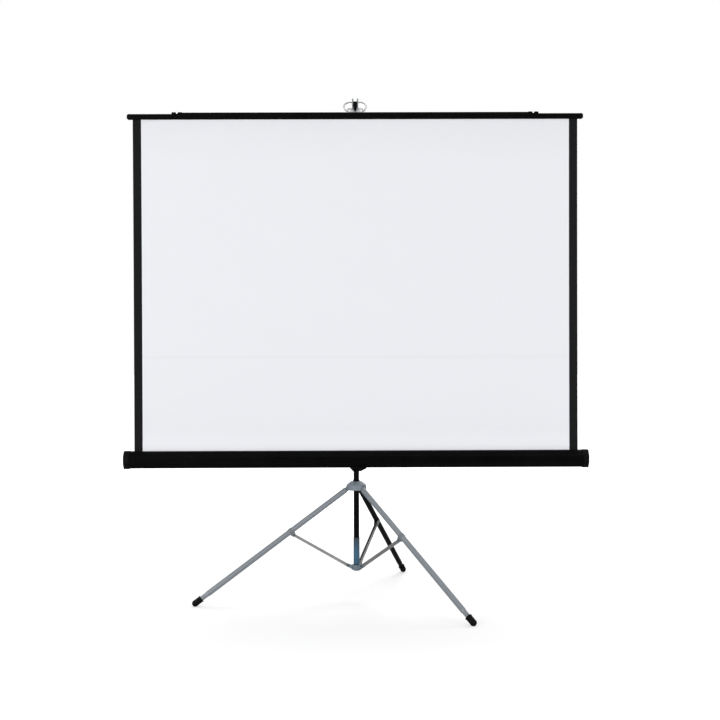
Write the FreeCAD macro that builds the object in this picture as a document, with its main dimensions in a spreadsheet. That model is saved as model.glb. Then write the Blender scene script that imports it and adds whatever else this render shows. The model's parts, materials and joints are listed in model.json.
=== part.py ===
import FreeCAD, Part
import math
import os
import types

import Sketcher

# Tripod projection screen, millimetres, +Z up, the viewer looks along +Y.
# The origin lies on the floor, at the centre of the object's box.

SIZES = {
    # Tripod stance
    "foot_circle_radius": 640,
    "foot_ball_radius": 13,
    "foot_ball_height": 12,
    "left_foot_advance": 121,
    "tripod_legs": 3,
    # Rubber feet
    "foot_sleeve_length": 30,
    "foot_rim_diameter": 27.6,
    "foot_rim_length": 4,
    # Leg tubes
    "leg_pivot_radius": 32,
    "leg_pivot_drop": 118.6,
    "leg_tube_diameter": 22,
    "leg_tube_wall": 1.2,
    "leg_tube_start": 16,
    "leg_neck_diameter": 18.5,
    "leg_neck_start": 62,
    "leg_neck_taper": 8,
    # Leg top fittings
    "leg_tongue_thickness": 12,
    "leg_tongue_width": 16,
    "leg_flange_length": 2.5,
    "leg_plug_length": 26,
    "leg_pin_diameter": 6,
    "leg_pin_length": 42,
    # Hub casting and its bushing
    "hub_diameter": 80,
    "hub_rise": 26,
    "hub_drop": 9,
    "hub_crown_diameter": 42,
    "hub_crown_height": 15,
    "hub_crown_radius": 12,
    "hub_shoulder_radius": 10,
    "hub_rim_radius": 3,
    "hub_slot_side_gap": 0.3,
    "hub_slot_roof_gap": 0.6,
    "hub_bushing_diameter": 26.5,
    "hub_bushing_rise": 5,
    "hub_bushing_drop": 4,
    # Brace brackets on the legs
    "brace_leg_distance": 285,
    "brace_drop": 18,
    "bracket_length": 22,
    "bracket_wall": 2,
    "bracket_side_gap": 0.6,
    "bracket_edge": 6,
    "clamp_wall": 1.2,
    "clamp_length": 16,
    # Braces
    "brace_width": 11,
    "brace_wall": 1.6,
    "brace_pin_diameter": 5,
    # Brace collar at the mast's foot
    "collar_diameter": 40,
    "collar_bottom_height": 120,
    "collar_height": 20,
    "collar_edge": 2,
    "collar_pin_radius": 37,
    "collar_pin_height": 139,
    "collar_ear_radius": 6,
    "collar_ear_wall": 2.5,
    "collar_ear_gap": 0.5,
    "rivet_head_diameter": 9,
    "rivet_head_height": 2,
    # Mast
    "mast_diameter": 22,
    "mast_wall": 1.2,
    "mast_top_height": 1408,
    "mast_plug_length": 20,
    "mast_plug_flange_diameter": 26,
    "mast_plug_flange_height": 3,
    "sleeve_diameter": 24,
    "sleeve_length": 106,
    "sleeve_collar_gap": 2,
    # Rod guide at the mast's top
    "guide_diameter": 27,
    "guide_skirt_length": 24,
    "guide_head_height": 12,
    "guide_ear_reach": 22,
    "guide_ear_height": 12,
    "guide_ear_wall": 2,
    "latch_width": 8,
    "latch_thickness": 3,
    "latch_length": 42,
    "latch_offset": 19,
    "latch_pin_diameter": 3,
    # Extension rod
    "rod_diameter": 15,
    "rod_wall": 1,
    "rod_bottom_height": 616,
    "rod_foot_length": 20,
    "rod_foot_plug_length": 12,
    # Hook on the rod
    "hook_cap_width": 19,
    "hook_cap_skirt": 18,
    "hook_arm_width": 12,
    "hook_arm_height": 9,
    "hook_seat_gap": 0.3,
    "hook_throat_gap": 3.2,
    "hook_tongue_width": 16,
    "hook_tongue_tip_width": 5,
    "hook_tongue_thickness": 4.5,
    "hook_tongue_drop": 38,
    "hook_tongue_rise": 1,
    "fork_width": 25,
    "fork_thickness": 2.5,
    "fork_prong_width": 6,
    "fork_drop": 28,
    "fork_rise": 13,
    "fork_root_height": 14,
    # Carriage on the mast
    "carriage_diameter": 31,
    "carriage_drop": 35.6,
    "carriage_rise": 67.4,
    "liner_thickness": 1.6,
    "liner_lip": 1.5,
    "skirt_height": 17,
    "skirt_neck_diameter": 29,
    "skirt_top_diameter": 54,
    "skirt_rim_height": 3,
    "boss_diameter": 40,
    "boss_reach": 19,
    "stud_diameter": 10,
    "stud_reach": 5,
    "washer_diameter": 38,
    "washer_thickness": 1.5,
    # Trigger under the case
    "trigger_width": 10,
    "trigger_thickness": 5,
    "trigger_start": 15,
    "trigger_reach": 41,
    "trigger_low_drop": 50.6,
    "trigger_high_drop": 39.6,
    "trigger_pin_diameter": 3,
    "trigger_pin_reach": 20,
    "trigger_cheek_wall": 3,
    "trigger_cheek_reach": 6,
    "trigger_side_gap": 0.5,
    # Case
    "case_height": 565.6,
    "case_flats": 65,
    "case_sides": 8,
    "case_wall": 1.5,
    "case_length": 1825,
    "case_slot_width": 6.6,
    "cap_flats": 70,
    "cap_length": 22,
    "cap_floor": 4,
    "cap_screw_diameter": 7,
    "cap_screw_height": 1.5,
    "cap_screw_spread": 40,
    "bracket_plate_wall": 3,
    "bracket_plate_length": 120,
    "bracket_lip": 12,
    "case_rivet_diameter": 8,
    "case_rivet_height": 1.4,
    "case_rivet_inner": 28,
    "case_rivet_outer": 50,
    # Roller in the case
    "roller_diameter": 24,
    "roller_wall": 1.2,
    "roller_overhang": 5,
    "roller_offset": 8,
    "roll_diameter": 30,
    "roller_plug_length": 24,
    "roller_plug_flange": 3,
    "axle_diameter": 8,
    "axle_end_gap": 11.3,
    "bearing_diameter": 18,
    "bearing_bore_depth": 12,
    "spring_diameter": 18,
    "spring_bore": 8,
    "spring_length": 440,
    # Fabric
    "fabric_case_margin": 37.5,
    "fabric_slat_margin": 22.5,
    "fabric_thickness": 0.8,
    "fabric_gap": 0.3,
    # Top slat
    "slat_bottom_height": 1903.5,
    "slat_height": 22,
    "slat_thickness": 11,
    "slat_length": 1795,
    "slat_bevel": 2,
    "slat_groove_depth": 8,
    "slat_groove_width": 2,
    "slat_cap_length": 12,
    "slat_cap_bevel": 5,
    "spine_length": 1444,
    "spine_height": 5.5,
    "spine_width": 6,
    "spine_clip_length": 38,
    "spine_clip_wall": 1.5,
    "stud_head_diameter": 9,
    "stud_head_height": 3.5,
    "stud_rise": 4.2,
    "stud_shank_diameter": 4,
    "stud_spread": 1402,
    # Bail
    "bail_wire_diameter": 6,
    "bail_foot_spread": 74,
    "bail_waist_spread": 94.6,
    "bail_waist_rise": 22,
    "bail_top_spread": 52,
    "bail_rise": 33,
    "bail_bend_radius": 11,
    "bail_foot_bend_radius": 4.5,
    "bail_foot_length": 10,
    "bail_pivot_rise": 6.5,
    "bail_plate_thickness": 2,
    "bail_plate_height": 17,
    "bail_plate_width": 60,
    "bail_knuckle_diameter": 10,
    "bail_knuckle_length": 5.5,
    # Clearances shared by all pieces
    "running_gap": 0.05,
    "body_gap": 0.3,
    "cut_overrun": 3,
}

HALF_TURN = 180
FULL_TURN = 360


class Size:
    """A length or ratio, with the sheet expression that it comes from.

    The mark @ in the expression stands for the place where the sheet's name goes.
    """

    def __init__(self, number, text):
        self.number = float(number)
        self.text = text

    def __float__(self):
        return self.number

    def __add__(self, other):
        other = as_size(other)
        return Size(self.number + other.number, f"({self.text} + {other.text})")

    def __sub__(self, other):
        other = as_size(other)
        return Size(self.number - other.number, f"({self.text} - {other.text})")

    def __mul__(self, other):
        other = as_size(other)
        return Size(self.number * other.number, f"({self.text} * {other.text})")

    def __truediv__(self, other):
        other = as_size(other)
        return Size(self.number / other.number, f"({self.text} / {other.text})")

    def __neg__(self):
        return Size(-self.number, f"(-1 * {self.text})")


def as_size(value):
    """A Size for a plain number or a Size."""
    if isinstance(value, Size):
        return value
    return Size(value, repr(value))


def hypotenuse(run, rise):
    """Length of the slope over a run and a rise."""
    return Size(math.hypot(float(run), float(rise)), f"hypot({run.text}; {rise.text})")


def smaller(first, second):
    """The smaller of two lengths."""
    return Size(min(float(first), float(second)), f"min({first.text}; {second.text})")


def cosine(degrees):
    """Cosine of an angle in degrees."""
    return Size(math.cos(math.radians(float(degrees))), f"cos({degrees.text})")


def tangent(degrees):
    """Tangent of an angle in degrees."""
    return Size(math.tan(math.radians(float(degrees))), f"tan({degrees.text})")


doc = FreeCAD.newDocument("ProjectionScreen")
sheet = doc.addObject("Spreadsheet::Sheet", "Sizes")
size = types.SimpleNamespace()
for row, (alias, number) in enumerate(SIZES.items(), start=1):
    sheet.set(f"A{row}", alias.replace("_", " "))
    sheet.set(f"B{row}", str(number))
    sheet.setAlias(f"B{row}", alias)
    setattr(size, alias, Size(number, f"@{alias}"))
doc.recompute()

sub_parts = []


def bind(item, name, length):
    """Bind one property of an object to the sheet."""
    item.setExpression(name, as_size(length).text.replace("@", "Sizes."))


def vector(x, y, z):
    """A FreeCAD vector of three sizes."""
    return FreeCAD.Vector(float(x), float(y), float(z))


AXIS_X = FreeCAD.Vector(1, 0, 0)
AXIS_Y = FreeCAD.Vector(0, 1, 0)
AXIS_Z = FreeCAD.Vector(0, 0, 1)
UPRIGHT = FreeCAD.Rotation()
ALONG_X = FreeCAD.Rotation(AXIS_Z, AXIS_X)
ALONG_Y = FreeCAD.Rotation(AXIS_Z, AXIS_Y)


def place(x=0, y=0, z=0, turn=UPRIGHT):
    """A placement from three sizes and a rotation."""
    return FreeCAD.Placement(vector(x, y, z), turn)


def keep(item, label, frame=None):
    """Name a finished sub-part and put it in its place."""
    item.Label = label
    if frame is not None:
        item.Placement = frame
    sub_parts.append(item)
    return item


def cylinder(diameter, length, at=None):
    """A round bar along its own Z."""
    item = doc.addObject("Part::Cylinder", "Bar")
    bind(item, "Radius", diameter / 2)
    bind(item, "Height", length)
    if at is not None:
        item.Placement = at
    return item


def cone(low_diameter, high_diameter, length, at=None):
    """A round taper along its own Z."""
    item = doc.addObject("Part::Cone", "Taper")
    bind(item, "Radius1", low_diameter / 2)
    bind(item, "Radius2", high_diameter / 2)
    bind(item, "Height", length)
    if at is not None:
        item.Placement = at
    return item


def sphere(diameter, at=None):
    """A ball about its own origin."""
    item = doc.addObject("Part::Sphere", "Ball")
    bind(item, "Radius", diameter / 2)
    if at is not None:
        item.Placement = at
    return item


def block(length, width, height, x=0, y=0, z=0):
    """A box centred on X and Y at the given place, standing on the given Z."""
    item = doc.addObject("Part::Box", "Block")
    bind(item, "Length", length)
    bind(item, "Width", width)
    bind(item, "Height", height)
    item.Placement = place(as_size(x) - length / 2, as_size(y) - width / 2, z)
    return item


def prism(flats, sides, length, at):
    """A bar with equal flats, one of them facing up when the bar lies along X."""
    item = doc.addObject("Part::Prism", "Prism")
    item.Polygon = int(float(sides))
    bind(item, "Circumradius", flats / 2 / cosine(as_size(HALF_TURN) / sides))
    bind(item, "Height", length)
    item.Placement = at
    return item


def fuse(*pieces):
    """Several solids as one."""
    item = doc.addObject("Part::MultiFuse", "Joined")
    item.Shapes = list(pieces)
    item.Refine = True
    return item


def group(*pieces):
    """Separate solids that share one node."""
    item = doc.addObject("Part::Compound", "Group")
    item.Links = list(pieces)
    return item


def cut(base, *tools):
    """A solid less one or more others."""
    item = doc.addObject("Part::Cut", "Cut")
    item.Base = base
    item.Tool = tools[0] if len(tools) == 1 else fuse(*tools)
    return item


def common(first, second):
    """What two solids share."""
    item = doc.addObject("Part::Common", "Shared")
    item.Base = first
    item.Tool = second
    return item


def tube(outer, inner, length, at=None):
    """A round tube along its own Z."""
    overrun = size.cut_overrun
    bore = cylinder(inner, length + overrun * 2, place(z=-overrun))
    item = cut(cylinder(outer, length), bore)
    if at is not None:
        item.Placement = at
    return item


def origin_plane(body, role):
    """One of a body's own base planes."""
    return next(item for item in body.Origin.OriginFeatures if item.Role == role)


def new_sketch(body, role):
    """An empty sketch on one of a body's own base planes."""
    sketch = body.newObject("Sketcher::SketchObject", "Outline")
    sketch.AttachmentSupport = [(origin_plane(body, role), "")]
    sketch.MapMode = "FlatFace"
    return sketch


def hold_point(sketch, line, x, y):
    """Hold the start of a line at two distances from the sketch's origin."""
    for kind, length, axis in (("DistanceX", x, -2), ("DistanceY", y, -1)):
        length = as_size(length)
        if length.number == 0:
            sketch.addConstraint(Sketcher.Constraint("PointOnObject", line, 1, axis))
            continue
        rule = Sketcher.Constraint(kind, -1, 1, line, 1, length.number)
        index = sketch.addConstraint(rule)
        bind(sketch, f"Constraints[{index}]", length)


def draw_outline(sketch, points):
    """A closed outline of straight edges through the given points."""
    places = [vector(as_size(x), as_size(y), 0) for x, y in points]
    first = sketch.GeometryCount
    count = len(places)
    for index in range(count):
        edge = Part.LineSegment(places[index], places[(index + 1) % count])
        sketch.addGeometry(edge, False)
    for index in range(count):
        after = first + (index + 1) % count
        sketch.addConstraint(Sketcher.Constraint("Coincident", first + index, 2, after, 1))
    for index, (x, y) in enumerate(points):
        hold_point(sketch, first + index, x, y)


def extruded(role, points, length):
    """A body padded both ways from one of its planes."""
    body = doc.addObject("PartDesign::Body", "Body")
    sketch = new_sketch(body, role)
    draw_outline(sketch, points)
    pad = body.newObject("PartDesign::Pad", "Pad")
    pad.Profile = sketch
    bind(pad, "Length", length)
    pad.SideType = "Symmetric"
    body.Tip = pad
    return body


def revolved(points):
    """A body turned about its own Z from an outline of radii and heights."""
    body = doc.addObject("PartDesign::Body", "Body")
    sketch = new_sketch(body, "XZ_Plane")
    draw_outline(sketch, points)
    turned = body.newObject("PartDesign::Revolution", "Revolution")
    turned.Profile = sketch
    turned.ReferenceAxis = (sketch, ["V_Axis"])
    turned.Angle = FULL_TURN
    body.Tip = turned
    return body


def edges_at_height(shape, height, smallest_radius):
    """Names of the round edges at a height that are at least so large."""
    names = []
    for index, edge in enumerate(shape.Edges, start=1):
        box = edge.BoundBox
        flat = abs(box.ZMax - height) < FLAT_TOLERANCE and abs(box.ZMin - height) < FLAT_TOLERANCE
        if flat and box.XLength / 2 >= smallest_radius - FLAT_TOLERANCE:
            names.append(f"Edge{index}")
    return names


FLAT_TOLERANCE = 1e-4

half_turn_share = HALF_TURN / FULL_TURN

# The left foot stands in front of the mast, and the box is centred on the other two
tripod_turn = math.asin(float(size.left_foot_advance) / float(size.foot_circle_radius))
mast_y = -size.left_foot_advance / 2
mast_frame = place(y=mast_y)

# Heights that follow the case
leg_pivot_height = size.case_height - size.leg_pivot_drop
carriage_bottom = size.case_height - size.carriage_drop
carriage_top = size.case_height + size.carriage_rise
skirt_bottom = carriage_bottom - size.skirt_height

# Widths that follow the case and the slat
fabric_width = smaller(
    size.case_length - size.fabric_case_margin * 2,
    size.slat_length - size.fabric_slat_margin * 2,
)
roller_length = fabric_width + size.roller_overhang * 2
axle_length = (size.case_length - roller_length) / 2 - size.axle_end_gap

# Leg line, from its pivot in the hub to the centre of the ball foot
leg_run = size.foot_circle_radius - size.leg_pivot_radius
leg_drop = leg_pivot_height - size.foot_ball_height
leg_length = hypotenuse(leg_run, leg_drop)
leg_sine = leg_run / leg_length
leg_cosine = leg_drop / leg_length

# Brace line, from its pin under the leg to its pin at the collar
brace_top_radius = (
    size.leg_pivot_radius + size.brace_leg_distance * leg_sine - size.brace_drop * leg_cosine
)
brace_top_height = (
    leg_pivot_height - size.brace_leg_distance * leg_cosine - size.brace_drop * leg_sine
)
brace_run = brace_top_radius - size.collar_pin_radius
brace_fall = brace_top_height - size.collar_pin_height
brace_length = hypotenuse(brace_run, brace_fall)

# Depths of the case and of what lies in it, from the mast's axis
case_half = size.case_flats / 2
case_y = -(size.boss_reach + size.washer_thickness + size.bracket_plate_wall + case_half)
roller_y = case_y - size.roller_offset
fabric_y = roller_y + size.roll_diameter / 2 + size.fabric_gap + size.fabric_thickness / 2

LEG_NAMES = ("right", "rear", "left")


def leg_azimuth(index):
    """Direction of a leg in the floor plane, in radians from +X."""
    between = math.radians(FULL_TURN / float(size.tripod_legs))
    return tripod_turn + between * (index - half_turn_share)


def radial_frame(index):
    """A frame on the mast's axis whose X points along a leg's azimuth."""
    turn = FreeCAD.Rotation(AXIS_Z, math.degrees(leg_azimuth(index)))
    return place(y=mast_y, turn=turn)


def leg_frame(index):
    """A frame at a leg's pivot: Z runs down the leg, X points to its underside."""
    down = FreeCAD.Vector(float(leg_sine), 0, -float(leg_cosine))
    under = FreeCAD.Vector(-float(leg_cosine), 0, -float(leg_sine))
    turn = FreeCAD.Rotation(under, AXIS_Y, down, "ZXY")
    local = place(size.leg_pivot_radius, 0, leg_pivot_height, turn)
    return radial_frame(index).multiply(local)


def brace_frame(index):
    """A frame at a brace's leg pin: X runs to the collar pin, Z lies across the brace."""
    along = vector(-brace_run, 0, -brace_fall).normalize()
    across = AXIS_Y
    turn = FreeCAD.Rotation(along, across.cross(along), across, "XZY")
    local = place(brace_top_radius, 0, brace_top_height, turn)
    return radial_frame(index).multiply(local)


def hub_casting():
    """Domed casting with one open slot and one pin hole for each leg."""
    overrun = size.cut_overrun
    radius = size.hub_diameter / 2
    crown = size.hub_crown_diameter / 2
    top = size.hub_rise + size.hub_drop
    shoulder = top - size.hub_crown_height
    body = revolved((
        (0, 0),
        (radius, 0),
        (radius, shoulder),
        (crown, top),
        (0, top),
    ))
    doc.recompute()
    below = body.Tip
    rims = (
        (top, crown, size.hub_crown_radius),
        (shoulder, radius, size.hub_shoulder_radius),
        (as_size(0), radius, size.hub_rim_radius),
    )
    for height, reach, rounding in rims:
        names = edges_at_height(below.Shape, height.number, reach.number)
        rounded = body.newObject("PartDesign::Fillet", "Rounding")
        rounded.Base = (below, names)
        bind(rounded, "Radius", rounding)
        body.Tip = rounded
        doc.recompute()
        below = rounded
    tools = [cylinder(size.hub_bushing_diameter, top + overrun * 2, place(z=-overrun))]
    slot_width = size.leg_tongue_thickness + size.hub_slot_side_gap * 2
    slot_inner = size.leg_pivot_radius - size.leg_tongue_width / 2 - size.hub_slot_roof_gap
    slot_length = size.hub_diameter / 2 - slot_inner + overrun
    slot_height = size.hub_drop + size.leg_tongue_width / 2 + size.hub_slot_roof_gap
    for index in range(len(LEG_NAMES)):
        turn = FreeCAD.Rotation(AXIS_Z, math.degrees(leg_azimuth(index)))
        frame = place(turn=turn)
        slot = block(slot_length, slot_width, slot_height + overrun,
                     slot_inner + slot_length / 2, 0, -overrun)
        slot.Placement = frame.multiply(slot.Placement)
        hole = cylinder(size.leg_pin_diameter, size.leg_pin_length)
        side = size.leg_pin_length / 2
        at = place(size.leg_pivot_radius, -side, size.hub_drop, ALONG_Y)
        hole.Placement = frame.multiply(at)
        tools += [slot, hole]
    hub = cut(body, *tools)
    keep(hub, "leg_hub", place(0, mast_y, leg_pivot_height - size.hub_drop))


def hub_inner_parts():
    """Bushing for the mast and the three leg pins."""
    length = size.hub_rise + size.hub_drop + size.hub_bushing_rise + size.hub_bushing_drop
    bore = size.mast_diameter + size.running_gap * 2
    height = leg_pivot_height - size.hub_drop - size.hub_bushing_drop
    keep(tube(size.hub_bushing_diameter, bore, length), "hub_bushing", place(0, mast_y, height))
    pins = []
    for index in range(len(LEG_NAMES)):
        pin = cylinder(size.leg_pin_diameter, size.leg_pin_length)
        side = size.leg_pin_length / 2
        at = place(size.leg_pivot_radius, -side, 0, ALONG_Y)
        pin.Placement = place(turn=FreeCAD.Rotation(AXIS_Z, math.degrees(leg_azimuth(index)))).multiply(at)
        pins.append(pin)
    keep(group(*pins), "leg_pivot_pins", place(0, mast_y, leg_pivot_height))


def leg_fitting(name, frame):
    """Tongue that turns in the hub, with the plug that fills the leg tube's top."""
    half = size.leg_tongue_width / 2
    flange_start = size.leg_tube_start - size.leg_flange_length
    tongue = block(size.leg_tongue_width, size.leg_tongue_thickness, flange_start + size.leg_flange_length)
    nose = cylinder(size.leg_tongue_width, size.leg_tongue_thickness,
                    place(0, -size.leg_tongue_thickness / 2, 0, ALONG_Y))
    flange = cylinder(size.leg_tube_diameter, size.leg_flange_length, place(z=flange_start))
    plug_diameter = size.leg_tube_diameter - size.leg_tube_wall * 2
    plug = cylinder(plug_diameter, size.leg_plug_length, place(z=size.leg_tube_start))
    hole = cylinder(size.leg_pin_diameter + size.running_gap * 2, half * 4,
                    place(0, -half * 2, 0, ALONG_Y))
    keep(cut(fuse(tongue, nose, flange, plug), hole), f"{name}_leg_fitting", frame)


def leg_tube(name, frame):
    """Round tube that narrows to a neck above the foot."""
    outer = size.leg_tube_diameter / 2
    inner = outer - size.leg_tube_wall
    neck = size.leg_neck_diameter / 2
    neck_bore = neck - size.leg_tube_wall
    shoulder = leg_length - size.leg_neck_start
    taper_end = shoulder + size.leg_neck_taper
    end = leg_length
    body = revolved((
        (inner, size.leg_tube_start),
        (outer, size.leg_tube_start),
        (outer, shoulder),
        (neck, taper_end),
        (neck, end),
        (neck_bore, end),
        (neck_bore, taper_end),
        (inner, shoulder),
    ))
    keep(body, f"{name}_leg_tube", frame)


def foot_tip(name, frame):
    """Rubber foot: a ball end with a small flat on the floor, and a sleeve over the neck."""
    overrun = size.cut_overrun
    ball = sphere(size.foot_ball_radius * 2, place(z=leg_length))
    sleeve = cylinder(size.foot_ball_radius * 2, size.foot_sleeve_length,
                      place(z=leg_length - size.foot_sleeve_length))
    rim = cylinder(size.foot_rim_diameter, size.foot_rim_length,
                   place(z=leg_length - size.foot_sleeve_length))
    socket = cylinder(size.leg_neck_diameter, size.foot_sleeve_length + overrun,
                      place(z=leg_length - size.foot_sleeve_length - overrun))
    wide = size.foot_circle_radius * 4
    floor = doc.addObject("Part::Box", "Floor")
    bind(floor, "Length", wide)
    bind(floor, "Width", wide)
    bind(floor, "Height", size.foot_ball_radius)
    below = place(-wide / 2, -wide / 2, -size.foot_ball_radius)
    floor.Placement = frame.inverse().multiply(below)
    keep(cut(fuse(ball, sleeve, rim), socket, floor), f"{name}_foot_tip", frame)


def brace_bracket(name, frame):
    """Clamp round the leg with two ears that carry the brace's pin."""
    overrun = size.cut_overrun
    clamp_diameter = size.leg_tube_diameter + size.clamp_wall * 2
    clamp = cylinder(clamp_diameter, size.clamp_length,
                     place(z=size.brace_leg_distance - size.clamp_length / 2))
    gap = size.brace_width + size.bracket_side_gap * 2
    width = gap + size.bracket_wall * 2
    reach = size.brace_drop + size.bracket_edge
    tube_radius = size.leg_tube_diameter / 2
    low = size.brace_leg_distance - size.bracket_length / 2
    high = size.brace_leg_distance + size.bracket_length / 2
    ears = extruded("XZ_Plane", (
        (0, low),
        (tube_radius, low),
        (reach, size.brace_leg_distance - size.bracket_edge),
        (reach, size.brace_leg_distance + size.bracket_edge),
        (tube_radius, high),
        (0, high),
    ), width)
    slot_start = tube_radius - overrun
    slot_length = reach - slot_start + overrun
    slot = block(slot_length, gap, size.bracket_length + overrun * 2,
                 slot_start + slot_length / 2, 0, low - overrun)
    bore = cylinder(size.leg_tube_diameter, size.bracket_length + overrun * 2,
                    place(z=low - overrun))
    hole = cylinder(size.brace_pin_diameter, width + overrun * 2,
                    place(size.brace_drop, -width / 2 - overrun, size.brace_leg_distance, ALONG_Y))
    keep(cut(fuse(clamp, ears), slot, bore, hole), f"{name}_brace_bracket", frame)
    pin_length = width + size.rivet_head_height * 2
    shank = cylinder(size.brace_pin_diameter, width,
                     place(size.brace_drop, -width / 2, size.brace_leg_distance, ALONG_Y))
    heads = [
        cylinder(size.rivet_head_diameter, size.rivet_head_height,
                 place(size.brace_drop, start, size.brace_leg_distance, ALONG_Y))
        for start in (-pin_length / 2, width / 2)
    ]
    keep(fuse(shank, *heads), f"{name}_brace_pin", frame)


def brace(name, frame):
    """Channel with round ends and a hole at each end."""
    radius = size.brace_width / 2
    body = doc.addObject("PartDesign::Body", "Body")
    sketch = new_sketch(body, "XY_Plane")
    near = FreeCAD.Vector()
    far = vector(brace_length, 0, 0)
    quarter = math.pi / 2
    arc = Part.Circle(near, AXIS_Z, radius.number)
    sketch.addGeometry(Part.ArcOfCircle(arc, quarter, quarter * 3), False)
    arc = Part.Circle(far, AXIS_Z, radius.number)
    sketch.addGeometry(Part.ArcOfCircle(arc, -quarter, quarter), False)
    low = vector(0, -radius, 0)
    high = vector(0, radius, 0)
    sketch.addGeometry(Part.LineSegment(low, low + far), False)
    sketch.addGeometry(Part.LineSegment(high + far, high), False)
    for first, first_end, second, second_end in ((0, 2, 2, 1), (2, 2, 1, 1), (1, 2, 3, 1), (3, 2, 0, 1)):
        rule = Sketcher.Constraint("Tangent", first, first_end, second, second_end)
        sketch.addConstraint(rule)
    sketch.addConstraint(Sketcher.Constraint("Coincident", 0, 3, -1, 1))
    sketch.addConstraint(Sketcher.Constraint("PointOnObject", 1, 3, -1))
    rules = (
        (Sketcher.Constraint("Radius", 0, radius.number), radius),
        (Sketcher.Constraint("DistanceX", -1, 1, 1, 3, brace_length.number), brace_length),
    )
    for rule, length in rules:
        bound = sketch.addConstraint(rule)
        bind(sketch, f"Constraints[{bound}]", length)
    hole_radius = size.brace_pin_diameter / 2 + size.running_gap
    for arc_index, centre in enumerate((near, far)):
        hole = sketch.addGeometry(Part.Circle(centre, AXIS_Z, hole_radius.number), False)
        sketch.addConstraint(Sketcher.Constraint("Coincident", hole, 3, arc_index, 3))
        bound = sketch.addConstraint(Sketcher.Constraint("Radius", hole, hole_radius.number))
        bind(sketch, f"Constraints[{bound}]", hole_radius)
    pad = body.newObject("PartDesign::Pad", "Pad")
    pad.Profile = sketch
    bind(pad, "Length", size.brace_width)
    pad.SideType = "Symmetric"
    body.Tip = pad
    inside = size.brace_width - size.brace_wall * 2
    hollow = block(brace_length + size.brace_width * 2, size.brace_width, inside,
                   brace_length / 2, size.brace_wall, -inside / 2)
    keep(cut(body, hollow), f"{name}_brace", frame)


def brace_collar():
    """Collar on the mast's foot with a pair of ears for each brace."""
    overrun = size.cut_overrun
    radius = size.collar_diameter / 2
    bore = size.mast_diameter / 2
    edge = size.collar_edge
    ring = revolved((
        (bore, 0),
        (radius - edge, 0),
        (radius, edge),
        (radius, size.collar_height - edge),
        (radius - edge, size.collar_height),
        (bore, size.collar_height),
    ))
    gap = size.brace_width + size.collar_ear_gap * 2
    width = gap + size.collar_ear_wall * 2
    pin_z = size.collar_pin_height - size.collar_bottom_height
    ears = [ring]
    tools = []
    rivets = []
    root = radius - size.collar_ear_wall
    for index in range(len(LEG_NAMES)):
        frame = place(turn=FreeCAD.Rotation(AXIS_Z, math.degrees(leg_azimuth(index))))
        arm = extruded("XZ_Plane", (
            (root, edge),
            (size.collar_pin_radius, pin_z - size.collar_ear_radius),
            (size.collar_pin_radius, pin_z + size.collar_ear_radius),
            (root, size.collar_height - edge),
        ), width)
        tip = cylinder(size.collar_ear_radius * 2, width,
                       place(size.collar_pin_radius, -width / 2, pin_z, ALONG_Y))
        slot_length = size.collar_pin_radius - root + size.collar_ear_radius + overrun
        slot = block(slot_length, gap, pin_z + size.collar_ear_radius + overrun * 2,
                     radius + slot_length / 2, 0, -overrun)
        hole = cylinder(size.brace_pin_diameter, width + overrun * 2,
                        place(size.collar_pin_radius, -width / 2 - overrun, pin_z, ALONG_Y))
        for item in (arm, tip, slot, hole):
            item.Placement = frame.multiply(item.Placement)
        ears += [arm, tip]
        tools += [slot, hole]
        for start, head_start in ((-width / 2, -width / 2 - size.rivet_head_height), (gap / 2, width / 2)):
            shank = cylinder(size.brace_pin_diameter, size.collar_ear_wall,
                             place(size.collar_pin_radius, start, pin_z, ALONG_Y))
            head = cylinder(size.rivet_head_diameter, size.rivet_head_height,
                            place(size.collar_pin_radius, head_start, pin_z, ALONG_Y))
            for item in (shank, head):
                item.Placement = frame.multiply(item.Placement)
            rivets.append(fuse(shank, head))
    at = place(0, mast_y, size.collar_bottom_height)
    keep(cut(fuse(*ears), *tools), "brace_collar", at)
    keep(group(*rivets), "collar_rivets", at)


def mast_parts():
    """Mast tube, lower sleeve and bottom plug."""
    bottom = size.collar_bottom_height
    bore = size.mast_diameter - size.mast_wall * 2
    keep(tube(size.mast_diameter, bore, size.mast_top_height - bottom), "mast_tube",
         place(0, mast_y, bottom))
    sleeve_height = bottom + size.collar_height + size.sleeve_collar_gap
    keep(tube(size.sleeve_diameter, size.mast_diameter, size.sleeve_length), "lower_sleeve",
         place(0, mast_y, sleeve_height))
    flange = size.mast_plug_flange_height
    plug = fuse(
        cylinder(size.mast_plug_flange_diameter, flange),
        cylinder(bore, size.mast_plug_length, place(z=flange)),
    )
    keep(plug, "mast_plug", place(0, mast_y, bottom - flange))


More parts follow.
